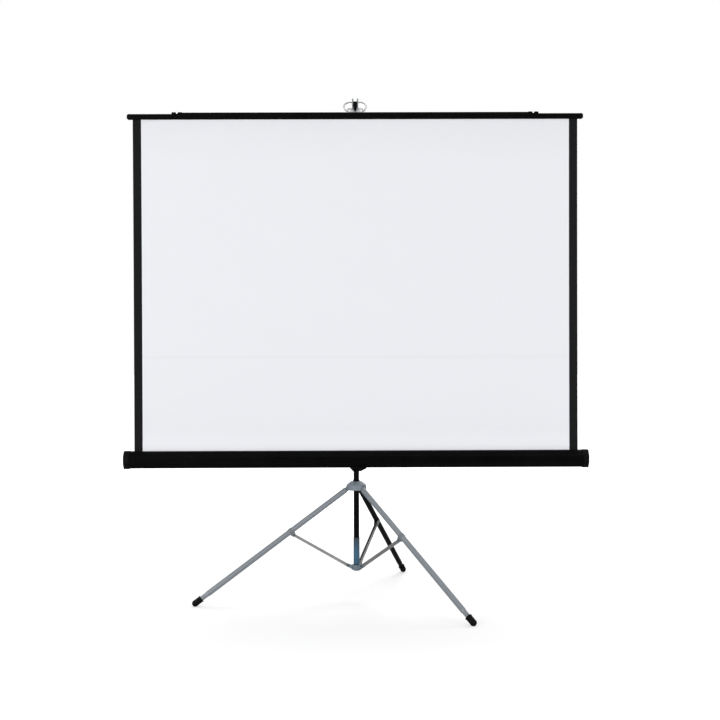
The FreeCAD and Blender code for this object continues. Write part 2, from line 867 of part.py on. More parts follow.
def rod_guide_and_latch():
    """Guide on the mast's top for the rod, with the sprung latch behind it."""
    overrun = size.cut_overrun
    skirt = size.guide_skirt_length
    height = skirt + size.guide_head_height
    shell = cylinder(size.guide_diameter, height)
    ear_gap = size.latch_width + size.body_gap * 2
    ear_width = ear_gap + size.guide_ear_wall * 2
    ear_z = skirt - size.guide_ear_height / 2
    ears = block(ear_width, size.guide_ear_reach, size.guide_ear_height, 0, size.guide_ear_reach / 2, ear_z)
    slot_depth = size.guide_ear_reach - size.guide_diameter / 2
    slot = block(ear_gap, slot_depth + overrun, size.guide_ear_height + overrun * 2,
                 0, size.guide_diameter / 2 + (slot_depth + overrun) / 2, ear_z - overrun)
    socket = cylinder(size.mast_diameter, skirt + overrun, place(z=-overrun))
    bore = cylinder(size.rod_diameter + size.running_gap * 2, height + overrun * 2, place(z=-overrun))
    pin_z = ear_z + size.guide_ear_height / 2
    pin_at = place(-ear_width / 2, size.latch_offset, pin_z, ALONG_X)
    pin_hole = cylinder(size.latch_pin_diameter, ear_width, pin_at)
    at = place(0, mast_y, size.mast_top_height - skirt)
    keep(cut(fuse(shell, ears), slot, socket, bore, pin_hole), "rod_guide", at)
    keep(cylinder(size.latch_pin_diameter, ear_width), "latch_pin", at.multiply(pin_at))
    half = size.latch_thickness / 2
    knuckle = size.latch_pin_diameter / 2 + half
    low = pin_z - size.latch_length / 2
    high = pin_z + size.latch_length / 2
    flare = size.latch_offset + size.latch_thickness
    plate = extruded("YZ_Plane", (
        (size.latch_offset - half, low + knuckle),
        (size.latch_offset + half, low),
        (flare + half, low),
        (size.latch_offset + half, low + knuckle * 2),
        (size.latch_offset + half, high),
        (size.latch_offset - half, high),
    ), size.latch_width)
    barrel = cylinder(knuckle * 2, size.latch_width,
                      place(-size.latch_width / 2, size.latch_offset, pin_z, ALONG_X))
    hole = cylinder(size.latch_pin_diameter + size.running_gap * 2, size.latch_width + overrun * 2,
                    place(-size.latch_width / 2 - overrun, size.latch_offset, pin_z, ALONG_X))
    keep(cut(fuse(plate, barrel), hole), "rod_latch", at)


def extension_rod():
    """Rod that slides in the mast, with its foot guide."""
    bore = size.rod_diameter - size.rod_wall * 2
    top = size.slat_bottom_height + size.slat_height
    keep(tube(size.rod_diameter, bore, top - size.rod_bottom_height), "extension_rod",
         place(0, mast_y, size.rod_bottom_height))
    guide = size.mast_diameter - size.mast_wall * 2 - size.running_gap * 2
    foot = fuse(
        cylinder(guide, size.rod_foot_length),
        cylinder(bore, size.rod_foot_plug_length, place(z=size.rod_foot_length)),
    )
    keep(foot, "rod_foot_guide", place(0, mast_y, size.rod_bottom_height - size.rod_foot_length))


def hook():
    """Black hook on the rod and the steel fork that keeps the bail on it."""
    overrun = size.cut_overrun
    wire = size.bail_wire_diameter
    rod_top = size.slat_bottom_height + size.slat_height
    pivot_z = rod_top + size.spine_height + size.bail_pivot_rise
    wire_z = pivot_z + size.bail_rise
    seat_z = wire_z - wire / 2 - size.hook_seat_gap
    wire_y = -fabric_y
    skirt_z = rod_top - size.hook_cap_skirt
    cap = cylinder(size.hook_cap_width, seat_z - skirt_z, place(z=skirt_z))
    socket = cylinder(size.rod_diameter, size.hook_cap_skirt + overrun, place(z=skirt_z - overrun))
    fork_back = wire_y + wire / 2 + size.hook_throat_gap
    front = fork_back + size.fork_thickness
    arm = block(size.hook_arm_width, front, size.hook_arm_height, 0, -front / 2,
                seat_z - size.hook_arm_height)
    tongue_depth = size.hook_tongue_thickness
    half = size.hook_tongue_width / 2
    tip = size.hook_tongue_tip_width / 2
    low = wire_z - size.hook_tongue_drop
    waist = wire_z - size.hook_tongue_drop / 2
    high = wire_z + size.hook_tongue_rise
    tongue = extruded("XZ_Plane", (
        (-tip, low),
        (tip, low),
        (half, waist),
        (half, high),
        (-half, high),
        (-half, waist),
    ), tongue_depth)
    tongue.Placement = place(0, -front - tongue_depth / 2, 0)
    keep(cut(fuse(cap, arm), socket), "hook_body", mast_frame)
    keep(tongue, "hook_tongue", place(0, mast_y - front - tongue_depth / 2, 0))
    outer = size.fork_width / 2
    inner = outer - size.fork_prong_width
    root = wire_z - size.fork_drop + size.fork_root_height
    fork = extruded("XZ_Plane", (
        (-outer, wire_z - size.fork_drop),
        (outer, wire_z - size.fork_drop),
        (outer, wire_z + size.fork_rise),
        (inner, wire_z + size.fork_rise),
        (inner, root),
        (-inner, root),
        (-inner, wire_z + size.fork_rise),
        (-outer, wire_z + size.fork_rise),
    ), size.fork_thickness)
    keep(fork, "hook_fork", place(0, mast_y - fork_back - size.fork_thickness / 2, 0))


def carriage():
    """Sliding carriage with its liner, skirt and the boss for the case's stud."""
    overrun = size.cut_overrun
    liner_outer = size.mast_diameter + size.running_gap * 2 + size.liner_thickness * 2
    low = carriage_bottom
    barrel = cylinder(size.carriage_diameter, carriage_top - low, place(z=low))
    flare_height = low - size.skirt_rim_height - skirt_bottom
    flare = cone(size.skirt_neck_diameter, size.skirt_top_diameter, flare_height,
                 place(z=skirt_bottom))
    rim = cylinder(size.skirt_top_diameter, size.skirt_rim_height, place(z=low - size.skirt_rim_height))
    boss = cylinder(size.boss_diameter, size.boss_reach,
                    place(0, -size.boss_reach, size.case_height, ALONG_Y))
    bore_length = carriage_top - skirt_bottom
    bore = cylinder(liner_outer, bore_length + overrun * 2, place(z=skirt_bottom - overrun))
    stud_hole = cylinder(size.stud_diameter + size.running_gap * 2,
                         size.stud_reach + size.body_gap + overrun,
                         place(0, -size.boss_reach - overrun, size.case_height, ALONG_Y))
    slot_width = size.trigger_width + size.trigger_side_gap * 2
    slot_start = size.trigger_start - size.trigger_side_gap
    slot_length = size.skirt_top_diameter / 2 - slot_start + overrun
    slot = block(slot_length, slot_width, low - skirt_bottom + overrun * 2,
                 slot_start + slot_length / 2, 0, skirt_bottom - overrun)
    barrel_guard = cylinder(size.carriage_diameter, carriage_top - low + overrun * 2,
                            place(z=low))
    pin_z = trigger_pin_height()
    cheek_width = slot_width + size.trigger_cheek_wall * 2
    cheek_end = size.trigger_pin_reach + size.trigger_cheek_reach
    cheek_top = low - size.skirt_rim_height / 2
    cheek_start = size.mast_diameter / 2
    cheeks = extruded("XZ_Plane", (
        (cheek_start, skirt_bottom),
        (size.trigger_pin_reach, skirt_bottom),
        (cheek_end, pin_z),
        (cheek_end, cheek_top),
        (cheek_start, cheek_top),
    ), cheek_width)
    pin_at = place(size.trigger_pin_reach, -cheek_width / 2, pin_z, ALONG_Y)
    pin_hole = cylinder(size.trigger_pin_diameter, cheek_width, pin_at)
    slot = cut(slot, barrel_guard)
    shell = fuse(barrel, flare, rim, cheeks, boss)
    keep(cut(shell, bore, stud_hole, slot, pin_hole), "carriage", mast_frame)
    lip = size.liner_lip
    length = bore_length + lip * 2
    bore_diameter = size.mast_diameter + size.running_gap * 2
    keep(tube(liner_outer, bore_diameter, length), "carriage_liner",
         place(0, mast_y, skirt_bottom - lip))
    keep(cylinder(size.trigger_pin_diameter, cheek_width), "trigger_pin",
         mast_frame.multiply(pin_at))


def trigger_pin_height():
    """Height of the trigger's pin, on the middle of its sloped plate."""
    run = size.trigger_reach - size.trigger_start
    share = (size.trigger_pin_reach - size.trigger_start) / run
    rise = size.trigger_low_drop - size.trigger_high_drop
    return size.case_height - size.trigger_low_drop + rise * share


def trigger():
    """Sloped finger lever under the case that releases the carriage."""
    overrun = size.cut_overrun
    half = size.trigger_thickness / 2
    low = size.case_height - size.trigger_low_drop
    high = size.case_height - size.trigger_high_drop
    plate = extruded("XZ_Plane", (
        (size.trigger_start, low - half),
        (size.trigger_start + half, low - half),
        (size.trigger_reach, high - half),
        (size.trigger_reach, high),
        (size.trigger_reach - half, high + half),
        (size.trigger_start, low + half),
    ), size.trigger_width)
    pin_z = trigger_pin_height()
    hole = cylinder(size.trigger_pin_diameter + size.running_gap * 2, size.trigger_width + overrun * 2,
                    place(size.trigger_pin_reach, -size.trigger_width / 2 - overrun, pin_z, ALONG_Y))
    keep(cut(plate, hole), "case_trigger", mast_frame)


def case_bracket():
    """Bracket on the back of the case, its rivets, stud and friction washer."""
    overrun = size.cut_overrun
    side_turn = as_size(HALF_TURN) / size.case_sides
    inner = case_half
    outer = inner + size.bracket_plate_wall
    inner_flat = inner * tangent(side_turn)
    outer_flat = outer * tangent(side_turn)
    slope = cosine(side_turn * 2)
    lip = size.bracket_lip * slope
    plate = extruded("YZ_Plane", (
        (inner, -inner_flat),
        (inner - lip, -inner_flat - lip),
        (outer - lip, -outer_flat - lip),
        (outer, -outer_flat),
        (outer, outer_flat),
        (outer - lip, outer_flat + lip),
        (inner - lip, inner_flat + lip),
        (inner, inner_flat),
    ), size.bracket_plate_length)
    hole = cylinder(size.stud_diameter, size.bracket_plate_wall + overrun * 2,
                    place(0, inner - overrun, 0, ALONG_Y))
    rivet_holes = [
        cylinder(size.case_rivet_diameter / 2, size.bracket_plate_wall + overrun * 2,
                 place(x, inner - overrun, 0, ALONG_Y))
        for x in case_rivet_places()
    ]
    at = place(0, mast_y + case_y, size.case_height)
    keep(cut(plate, hole, *rivet_holes), "case_bracket", at)
    rivets = []
    for x in case_rivet_places():
        shank = cylinder(size.case_rivet_diameter / 2, size.bracket_plate_wall,
                         place(x, inner, 0, ALONG_Y))
        head = cylinder(size.case_rivet_diameter, size.case_rivet_height, place(x, outer, 0, ALONG_Y))
        rivets.append(fuse(shank, head))
    keep(group(*rivets), "case_rivets", at)
    stud_length = size.bracket_plate_wall + size.washer_thickness + size.stud_reach
    keep(cylinder(size.stud_diameter, stud_length), "pivot_stud",
         at.multiply(place(0, inner, 0, ALONG_Y)))
    washer = tube(size.washer_diameter, size.stud_diameter, size.washer_thickness)
    keep(washer, "friction_washer", at.multiply(place(0, outer, 0, ALONG_Y)))


def case_rivet_places():
    """Places of the case rivets along the bracket."""
    inner = size.case_rivet_inner
    outer = size.case_rivet_outer
    return (-outer, -inner, inner, outer)


def octagon_at(x):
    """A frame along X on the case's axis whose bar has a flat on top."""
    turn = ALONG_X.multiply(FreeCAD.Rotation(AXIS_Z, HALF_TURN / float(size.case_sides)))
    return place(x, 0, 0, turn)


def case_shell():
    """Eight-sided case with a fabric slot along its top, and its two end caps."""
    overrun = size.cut_overrun
    shell_length = size.case_length - size.cap_floor * 2
    outer = prism(size.case_flats, size.case_sides, shell_length, octagon_at(-shell_length / 2))
    inner_flats = size.case_flats - size.case_wall * 2
    inner_length = shell_length + overrun * 2
    inner = prism(inner_flats, size.case_sides, inner_length, octagon_at(-inner_length / 2))
    slot = block(inner_length, size.case_slot_width, size.case_flats, 0, fabric_y - case_y, 0)
    at = place(0, mast_y + case_y, size.case_height)
    keep(cut(outer, inner, slot), "case_shell", at)
    depth = size.cap_length - size.cap_floor
    for name, side in (("left", -1), ("right", 1)):
        outside = prism(size.cap_flats, size.case_sides, size.cap_length, octagon_at(0))
        recess = prism(size.case_flats, size.case_sides, depth + overrun, octagon_at(-overrun))
        holes = [
            cylinder(size.cap_screw_diameter / 2, size.cap_length + overrun * 2,
                     place(-overrun, 0, z, ALONG_X))
            for z in (-size.cap_screw_spread / 2, size.cap_screw_spread / 2)
        ]
        turn = UPRIGHT if side > 0 else FreeCAD.Rotation(AXIS_Z, HALF_TURN)
        x = (size.case_length / 2 - size.cap_length) * side
        keep(cut(outside, recess, *holes), f"{name}_end_cap",
             at.multiply(place(x, 0, 0, turn)))


def cap_screws_and_bearings():
    """Two screws in each end cap and the bearing that carries each axle."""
    screws = []
    bearings = []
    floor = size.cap_floor
    overrun = size.cut_overrun
    inner_face = size.case_length / 2 - floor
    bearing_length = size.bearing_bore_depth + floor
    for side in (-1, 1):
        turn = UPRIGHT if side > 0 else FreeCAD.Rotation(AXIS_Z, HALF_TURN)
        frame = place(inner_face * side, 0, 0, turn)
        for z in (-size.cap_screw_spread / 2, size.cap_screw_spread / 2):
            shank = cylinder(size.cap_screw_diameter / 2, floor, place(0, 0, z, ALONG_X))
            head = cylinder(size.cap_screw_diameter, size.cap_screw_height, place(floor, 0, z, ALONG_X))
            screw = fuse(shank, head)
            screw.Placement = frame
            screws.append(screw)
        ring = cylinder(size.bearing_diameter, bearing_length,
                        place(inner_face * side, -size.roller_offset, 0,
                              FreeCAD.Rotation(AXIS_Z, AXIS_X * -side)))
        start = (inner_face - bearing_length - overrun) * side
        bore = cylinder(size.axle_diameter + size.running_gap * 2, size.bearing_bore_depth + overrun,
                        place(start, -size.roller_offset, 0, FreeCAD.Rotation(AXIS_Z, AXIS_X * side)))
        bearings.append(cut(ring, bore))
    at = place(0, mast_y + case_y, size.case_height)
    keep(group(*screws), "end_cap_screws", at)
    keep(group(*bearings), "roller_bearings", at)


def roller():
    """Sprung roller in the case with the wound fabric on it."""
    length = roller_length
    bore = size.roller_diameter - size.roller_wall * 2
    at = place(0, mast_y + roller_y, size.case_height)
    keep(tube(size.roller_diameter, bore, length), "roller_tube",
         at.multiply(place(-length / 2, 0, 0, ALONG_X)))
    keep(tube(size.roll_diameter, size.roller_diameter, fabric_width), "fabric_roll",
         at.multiply(place(-fabric_width / 2, 0, 0, ALONG_X)))
    plugs = []
    for side in (-1, 1):
        outward = FreeCAD.Rotation(AXIS_Z, AXIS_X * side)
        plug = cylinder(bore, size.roller_plug_length,
                        place((length / 2 - size.roller_plug_length) * side, 0, 0, outward))
        flange = cylinder(size.roller_diameter, size.roller_plug_flange,
                          place(length / 2 * side, 0, 0, outward))
        axle = cylinder(size.axle_diameter, axle_length, place(length / 2 * side, 0, 0, outward))
        plugs.append(fuse(plug, flange, axle))
    keep(group(*plugs), "roller_plugs", at)
    start = -length / 2 + size.roller_plug_length
    keep(tube(size.spring_diameter, size.spring_bore, size.spring_length), "roller_spring",
         at.multiply(place(start, 0, 0, ALONG_X)))


def fabric():
    """Taut screen fabric, from the roll up into the slat's groove."""
    top = size.slat_bottom_height + size.slat_groove_depth - size.fabric_gap
    sheet_height = top - size.case_height
    panel = block(fabric_width, size.fabric_thickness, sheet_height)
    corner = place(-fabric_width / 2, mast_y + fabric_y - size.fabric_thickness / 2,
                   size.case_height)
    keep(panel, "fabric_sheet", corner)


def top_slat():
    """Slat bar with the fabric's groove, its spine strip, end caps and studs."""
    half = size.slat_thickness / 2
    bevel = size.slat_bevel
    height = size.slat_height
    groove = size.slat_groove_width / 2
    depth = size.slat_groove_depth
    at = place(0, mast_y + fabric_y, size.slat_bottom_height)
    bar_length = size.slat_length - size.slat_cap_length * 2
    bar = extruded("YZ_Plane", (
        (-half + bevel, 0),
        (-groove, 0),
        (-groove, depth),
        (groove, depth),
        (groove, 0),
        (half - bevel, 0),
        (half, bevel),
        (half, height - bevel),
        (half - bevel, height),
        (-half + bevel, height),
        (-half, height - bevel),
        (-half, bevel),
    ), bar_length)
    keep(bar, "slat_bar", at)
    edge = size.slat_cap_bevel
    caps = []
    for side in (-1, 1):
        cap = extruded("XZ_Plane", (
            (0, 0),
            ((size.slat_cap_length - edge) * side, 0),
            (size.slat_cap_length * side, edge),
            (size.slat_cap_length * side, height - edge),
            ((size.slat_cap_length - edge) * side, height),
            (0, height),
        ), size.slat_thickness)
        cap.Placement = place(bar_length / 2 * side, 0, 0)
        caps.append(cap)
    keep(group(*caps), "slat_end_caps", at)
    spine = block(size.spine_length, size.spine_width, size.spine_height)
    keep(spine, "slat_spine", at.multiply(place(-size.spine_length / 2, -size.spine_width / 2, height)))
    clips = []
    studs = []
    wall = size.spine_clip_wall
    face = size.spine_width / 2 + wall
    forward = FreeCAD.Rotation(AXIS_Z, -AXIS_Y)
    for side in (-1, 1):
        x = size.stud_spread / 2 * side
        shoe = block(size.spine_clip_length, face * 2, size.spine_height + wall, x, 0, height)
        channel = block(size.spine_clip_length + size.cut_overrun * 2, size.spine_width,
                        size.spine_height + size.cut_overrun, x, 0, height - size.cut_overrun)
        bore = cylinder(size.stud_shank_diameter, wall + size.cut_overrun * 2,
                        place(x, -face + wall + size.cut_overrun, height + size.stud_rise, forward))
        clips.append(cut(shoe, channel, bore))
        head_at = place(x, -face, height + size.stud_rise, forward)
        ball = sphere(size.stud_head_diameter, head_at)
        post = cylinder(size.stud_head_diameter, size.stud_head_height, head_at)
        shank = cylinder(size.stud_shank_diameter, wall,
                         place(x, -face + wall, height + size.stud_rise, forward))
        studs.append(fuse(common(ball, post), shank))
    keep(group(*clips), "spine_clips", at)
    keep(group(*studs), "slat_studs", at)


def wire_outline(points, radii):
    """Straight runs through the points, joined by tangent arcs of the given radii."""
    edges = []
    start = points[0]
    for index in range(1, len(points) - 1):
        corner = points[index]
        before = (points[index - 1] - corner).normalize()
        after = (points[index + 1] - corner).normalize()
        half_angle = before.getAngle(after) * half_turn_share
        setback = radii[index - 1] / math.tan(half_angle)
        bisector = (before + after).normalize()
        centre = corner + bisector * (radii[index - 1] / math.sin(half_angle))
        first = corner + before * setback
        last = corner + after * setback
        middle = centre - bisector * radii[index - 1]
        edges.append(Part.LineSegment(start, first).toShape())
        edges.append(Part.Arc(first, middle, last).toShape())
        start = last
    edges.append(Part.LineSegment(start, points[-1]).toShape())
    return Part.Wire(edges)


def bail():
    """Wire bail with its feet turned inward, and the bracket that holds them."""
    overrun = size.cut_overrun
    spine_top = size.slat_bottom_height + size.slat_height + size.spine_height
    at = place(0, mast_y + fabric_y, spine_top)
    foot = float(size.bail_foot_spread / 2)
    pivot = float(size.bail_pivot_rise)
    waist = float(size.bail_waist_spread / 2)
    waist_z = pivot + float(size.bail_waist_rise)
    top = float(size.bail_top_spread / 2)
    top_z = pivot + float(size.bail_rise)
    inner = foot - float(size.bail_foot_length)
    half_path = [(inner, pivot), (foot, pivot), (waist, waist_z), (top, top_z)]
    points = [FreeCAD.Vector(x, 0, z) for x, z in half_path]
    points += [FreeCAD.Vector(-x, 0, z) for x, z in reversed(half_path)]
    bend = float(size.bail_bend_radius)
    foot_bend = float(size.bail_foot_bend_radius)
    path = wire_outline(points, [foot_bend, bend, bend, bend, bend, foot_bend])
    circle = Part.Circle(points[0], AXIS_X, float(size.bail_wire_diameter / 2))
    section = Part.Wire([circle.toShape()])
    wire = doc.addObject("Part::Feature", "Wire")
    wire.Shape = path.makePipeShell([section], True, False)
    keep(wire, "bail_wire", at)
    thickness = size.bail_plate_thickness
    plate = block(size.bail_plate_width, thickness, size.bail_plate_height)
    knuckles = []
    bores = []
    gap = size.bail_wire_diameter / 2 + size.body_gap
    for side in (-1, 1):
        end = (size.bail_foot_spread / 2 - gap) * side
        turn = FreeCAD.Rotation(AXIS_Z, AXIS_X * -side)
        knuckle_at = place(end, 0, size.bail_pivot_rise, turn)
        knuckles.append(cylinder(size.bail_knuckle_diameter, size.bail_knuckle_length, knuckle_at))
        bore_at = place(end + overrun * side, 0, size.bail_pivot_rise, turn)
        bores.append(cylinder(size.bail_wire_diameter + size.running_gap * 2,
                              size.bail_foot_length + overrun * 2, bore_at))
    feet = block(size.bail_plate_width, size.spine_width, thickness)
    keep(cut(fuse(plate, feet, *knuckles), *bores), "bail_bracket", at)


hub_casting()
hub_inner_parts()
for number, leg in enumerate(LEG_NAMES):
    leg_place = leg_frame(number)
    leg_fitting(leg, leg_place)
    leg_tube(leg, leg_place)
    foot_tip(leg, leg_place)
    brace_bracket(leg, leg_place)
    brace(leg, brace_frame(number))
brace_collar()
mast_parts()
rod_guide_and_latch()
extension_rod()
hook()
carriage()
trigger()
case_bracket()
case_shell()
cap_screws_and_bearings()
roller()
fabric()
top_slat()
bail()
doc.recompute()

for item in doc.Objects:
    if "Invalid" in item.State or "Error" in item.State:
        raise RuntimeError(f"{item.Label} failed: {item.State}")
for item in sub_parts:
    if item.Shape.isNull() or not item.Shape.isValid():
        raise RuntimeError(f"{item.Label} has no valid shape")

os.makedirs("parts", exist_ok=True)
for item in sub_parts:
    item.Shape.exportStep(f"parts/{item.Label}.step")
print(f"{len(sub_parts)} sub-parts written")
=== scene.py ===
"""A tripod projection screen, dressed in paint, steel, rubber and cloth over its measured frame."""
import json
import logging
import math
from dataclasses import dataclass
from enum import Enum
from typing import Iterable, Sequence

import bmesh
import bpy
from mathutils import Matrix, Vector


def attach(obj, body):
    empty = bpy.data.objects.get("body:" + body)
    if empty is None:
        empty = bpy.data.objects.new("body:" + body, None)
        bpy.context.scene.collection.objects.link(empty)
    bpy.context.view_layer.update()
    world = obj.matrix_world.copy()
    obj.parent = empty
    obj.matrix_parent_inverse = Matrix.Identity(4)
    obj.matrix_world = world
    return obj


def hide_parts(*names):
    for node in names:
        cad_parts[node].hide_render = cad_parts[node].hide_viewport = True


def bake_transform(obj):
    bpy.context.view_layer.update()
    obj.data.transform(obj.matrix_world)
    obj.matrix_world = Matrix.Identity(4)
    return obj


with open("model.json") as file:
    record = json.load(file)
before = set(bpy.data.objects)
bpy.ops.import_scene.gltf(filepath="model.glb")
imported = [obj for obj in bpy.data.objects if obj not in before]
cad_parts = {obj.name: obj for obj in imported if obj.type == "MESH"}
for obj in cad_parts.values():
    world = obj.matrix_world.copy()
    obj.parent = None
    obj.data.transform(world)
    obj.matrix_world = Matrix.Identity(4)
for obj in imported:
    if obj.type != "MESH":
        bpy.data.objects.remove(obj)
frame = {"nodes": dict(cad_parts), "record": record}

log = logging.getLogger("projection_screen")
Colour = tuple[float, float, float]
Node = bpy.types.Node
Outputs = bpy.types.NodeOutputs
Skin = bmesh.types.BMesh
Socket = bpy.types.NodeSocket
Tree = bpy.types.NodeTree
CLOTH_MAP = "ClothMap"
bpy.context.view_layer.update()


class Spot(Enum):
    """A place on the object, whose name starts the names of its pieces."""

    @property
    def word(self) -> str:
        """First word of its pieces' names."""
        return self.name.lower()


class Leg(Spot):
    """The three legs, each with its direction in the floor plane before the stand is turned."""

    RIGHT = -60.0
    REAR = 60.0
    LEFT = 180.0


class Side(Spot):
    """The two ends of the case and the slat."""

    LEFT = -1.0
    RIGHT = 1.0


class Wear(Enum):
    """How much paint is rubbed off the edges of a piece."""

    FRESH = 0.15
    HANDLED = 0.45
    KNOCKED = 0.8


@dataclass(frozen=True)
class Layout:
    """Places that several pieces share, in metres, with the mast's axis as the reference."""

    foot_circle: float = 0.640
    foot_height: float = 0.012
    left_foot_advance: float = 0.121
    pivot_radius: float = 0.032
    pivot_height: float = 0.447
    collar_pin_radius: float = 0.037
    collar_pin_height: float = 0.139
    brace_distance: float = 0.285
    brace_drop: float = 0.018
    case_height: float = 0.5656
    case_setback: float = 0.056
    roller_offset: float = 0.008
    roll_radius: float = 0.015
    cloth_gap: float = 0.0007
    slat_base: float = 1.9035
    slat_height: float = 0.022

    @property
    def mast_y(self) -> float:
        """Depth of the mast's axis."""
        return -self.left_foot_advance / 2

    @property
    def case_y(self) -> float:
        """Depth of the case's axis."""
        return self.mast_y - self.case_setback

    @property
    def roller_y(self) -> float:
        """Depth of the roller's axis."""
        return self.case_y - self.roller_offset

    @property
    def cloth_y(self) -> float:
        """Depth of the stretched cloth."""
        return self.roller_y + self.roll_radius + self.cloth_gap

    @property
    def leg_length(self) -> float:
        """Length from a leg's pivot to the centre of its ball foot."""
        run = self.foot_circle - self.pivot_radius
        return math.hypot(run, self.pivot_height - self.foot_height)

    def radial(self, leg: Leg) -> Matrix:
        """Frame on the mast's axis that faces along one leg."""
        turn = math.asin(self.left_foot_advance / self.foot_circle) + math.radians(leg.value)
        return Matrix.Translation((0.0, self.mast_y, 0.0)) @ Matrix.Rotation(turn, 4, "Z")

    def along(self, leg: Leg) -> Matrix:
        """Frame at a leg's pivot with Z down the leg and X to its underside.

        Args:
            leg: The leg to follow.

        Returns:
            The frame's matrix.
        """
        run = (self.foot_circle - self.pivot_radius) / self.leg_length
        drop = (self.pivot_height - self.foot_height) / self.leg_length
        axes = Matrix(((-drop, 0.0, run), (0.0, 1.0, 0.0), (-run, 0.0, -drop))).to_4x4()
        pivot = Matrix.Translation((self.pivot_radius, 0.0, self.pivot_height))
        return self.radial(leg) @ pivot @ axes


LAYOUT = Layout()
QUARTER_TURN = math.pi / 2


class Wiring:
    """A shader tree and the short calls that fill it."""

    def __init__(self, tree: Tree) -> None:
        """Keep the material's or group's node tree."""
        self.tree = tree

    def add(self, kind: str, **settings: object) -> Node:
        """Add a node and set its own properties.

        Args:
            kind: The node's type, without its ShaderNode prefix.
            **settings: Properties of the node.

        Returns:
            The new node.
        """
        node = self.tree.nodes.new("ShaderNode" + kind)
        for name, value in settings.items():
            setattr(node, name, value)
        return node

    def give(self, socket: Socket, value: object) -> None:
        """Link an input, or set its own value.

        Args:
            socket: The input to feed.
            value: A number, vector, colour or output socket.
        """
        if isinstance(value, Socket):
            self.tree.links.new(value, socket)
        elif socket.type == "RGBA":
            socket.default_value = (*value, 1.0)
        else:
            socket.default_value = value

    def set(self, node: Node, **values: object) -> Node:
        """Feed inputs of a node by name, with underscores for spaces.

        Args:
            node: The node to feed.
            **values: Numbers, tuples or output sockets.

        Returns:
            The same node.
        """
        for name, value in values.items():
            self.give(node.inputs[name.replace("_", " ")], value)
        return node

    def feed(self, node: Node, *values: object) -> Socket:
        """Feed the first inputs of a node in their order.

        Args:
            node: The node to feed.
            *values: Numbers, tuples or output sockets.

        Returns:
            The node's first output.
        """
        for socket, value in zip(node.inputs, values):
            self.give(socket, value)
        return node.outputs[0]

    def math(self, operation: str, first: object, second: object = 0.0) -> Socket:
        """Combine two numbers or sockets by a Math node's operation."""
        return self.feed(self.add("Math", operation=operation), first, second)

    def product(self, first: object, *others: object) -> Socket:
        """Multiply values.

        Args:
            first: A number or socket.
            *others: Numbers or sockets.

        Returns:
            The product's socket.
        """
        for other in others:
            first = self.math("MULTIPLY", first, other)
        return first

    def blend(self, share: object, first: object, second: object) -> Socket:
        """Mix two colours.

        Args:
            share: How much of the second colour.
            first: A colour or socket.
            second: A colour or socket.

        Returns:
            The mixed colour's socket.
        """
        node = self.add("Mix", data_type="RGBA")
        for index, value in ((0, share), (6, first), (7, second)):
            self.give(node.inputs[index], value)
        return node.outputs[2]

    def spread(self, value: Socket, low: float, high: float,
               from_low: float = 0.0, from_high: float = 1.0) -> Socket:
        """Map a value to the range from low to high."""
        return self.feed(self.add("MapRange"), value, from_low, from_high, low, high)

    def place(self) -> Socket:
        """Object coordinates of the shaded point."""
        return self.add("TexCoord").outputs["Object"]

    def cloth_place(self) -> Socket:
        """Place on the flat cloth, in metres from its lower left corner."""
        return self.add("UVMap", uv_map=CLOTH_MAP).outputs[0]

    def split(self, vector: Socket) -> Outputs:
        """Take a vector apart, into outputs named X, Y and Z."""
        return self.set(self.add("SeparateXYZ"), Vector=vector).outputs

    def noise(self, vector: Socket, **values: object) -> Socket:
        """Noise read at a vector, with the noise node's other inputs."""
        return self.set(self.add("TexNoise"), Vector=vector, **values).outputs["Fac"]


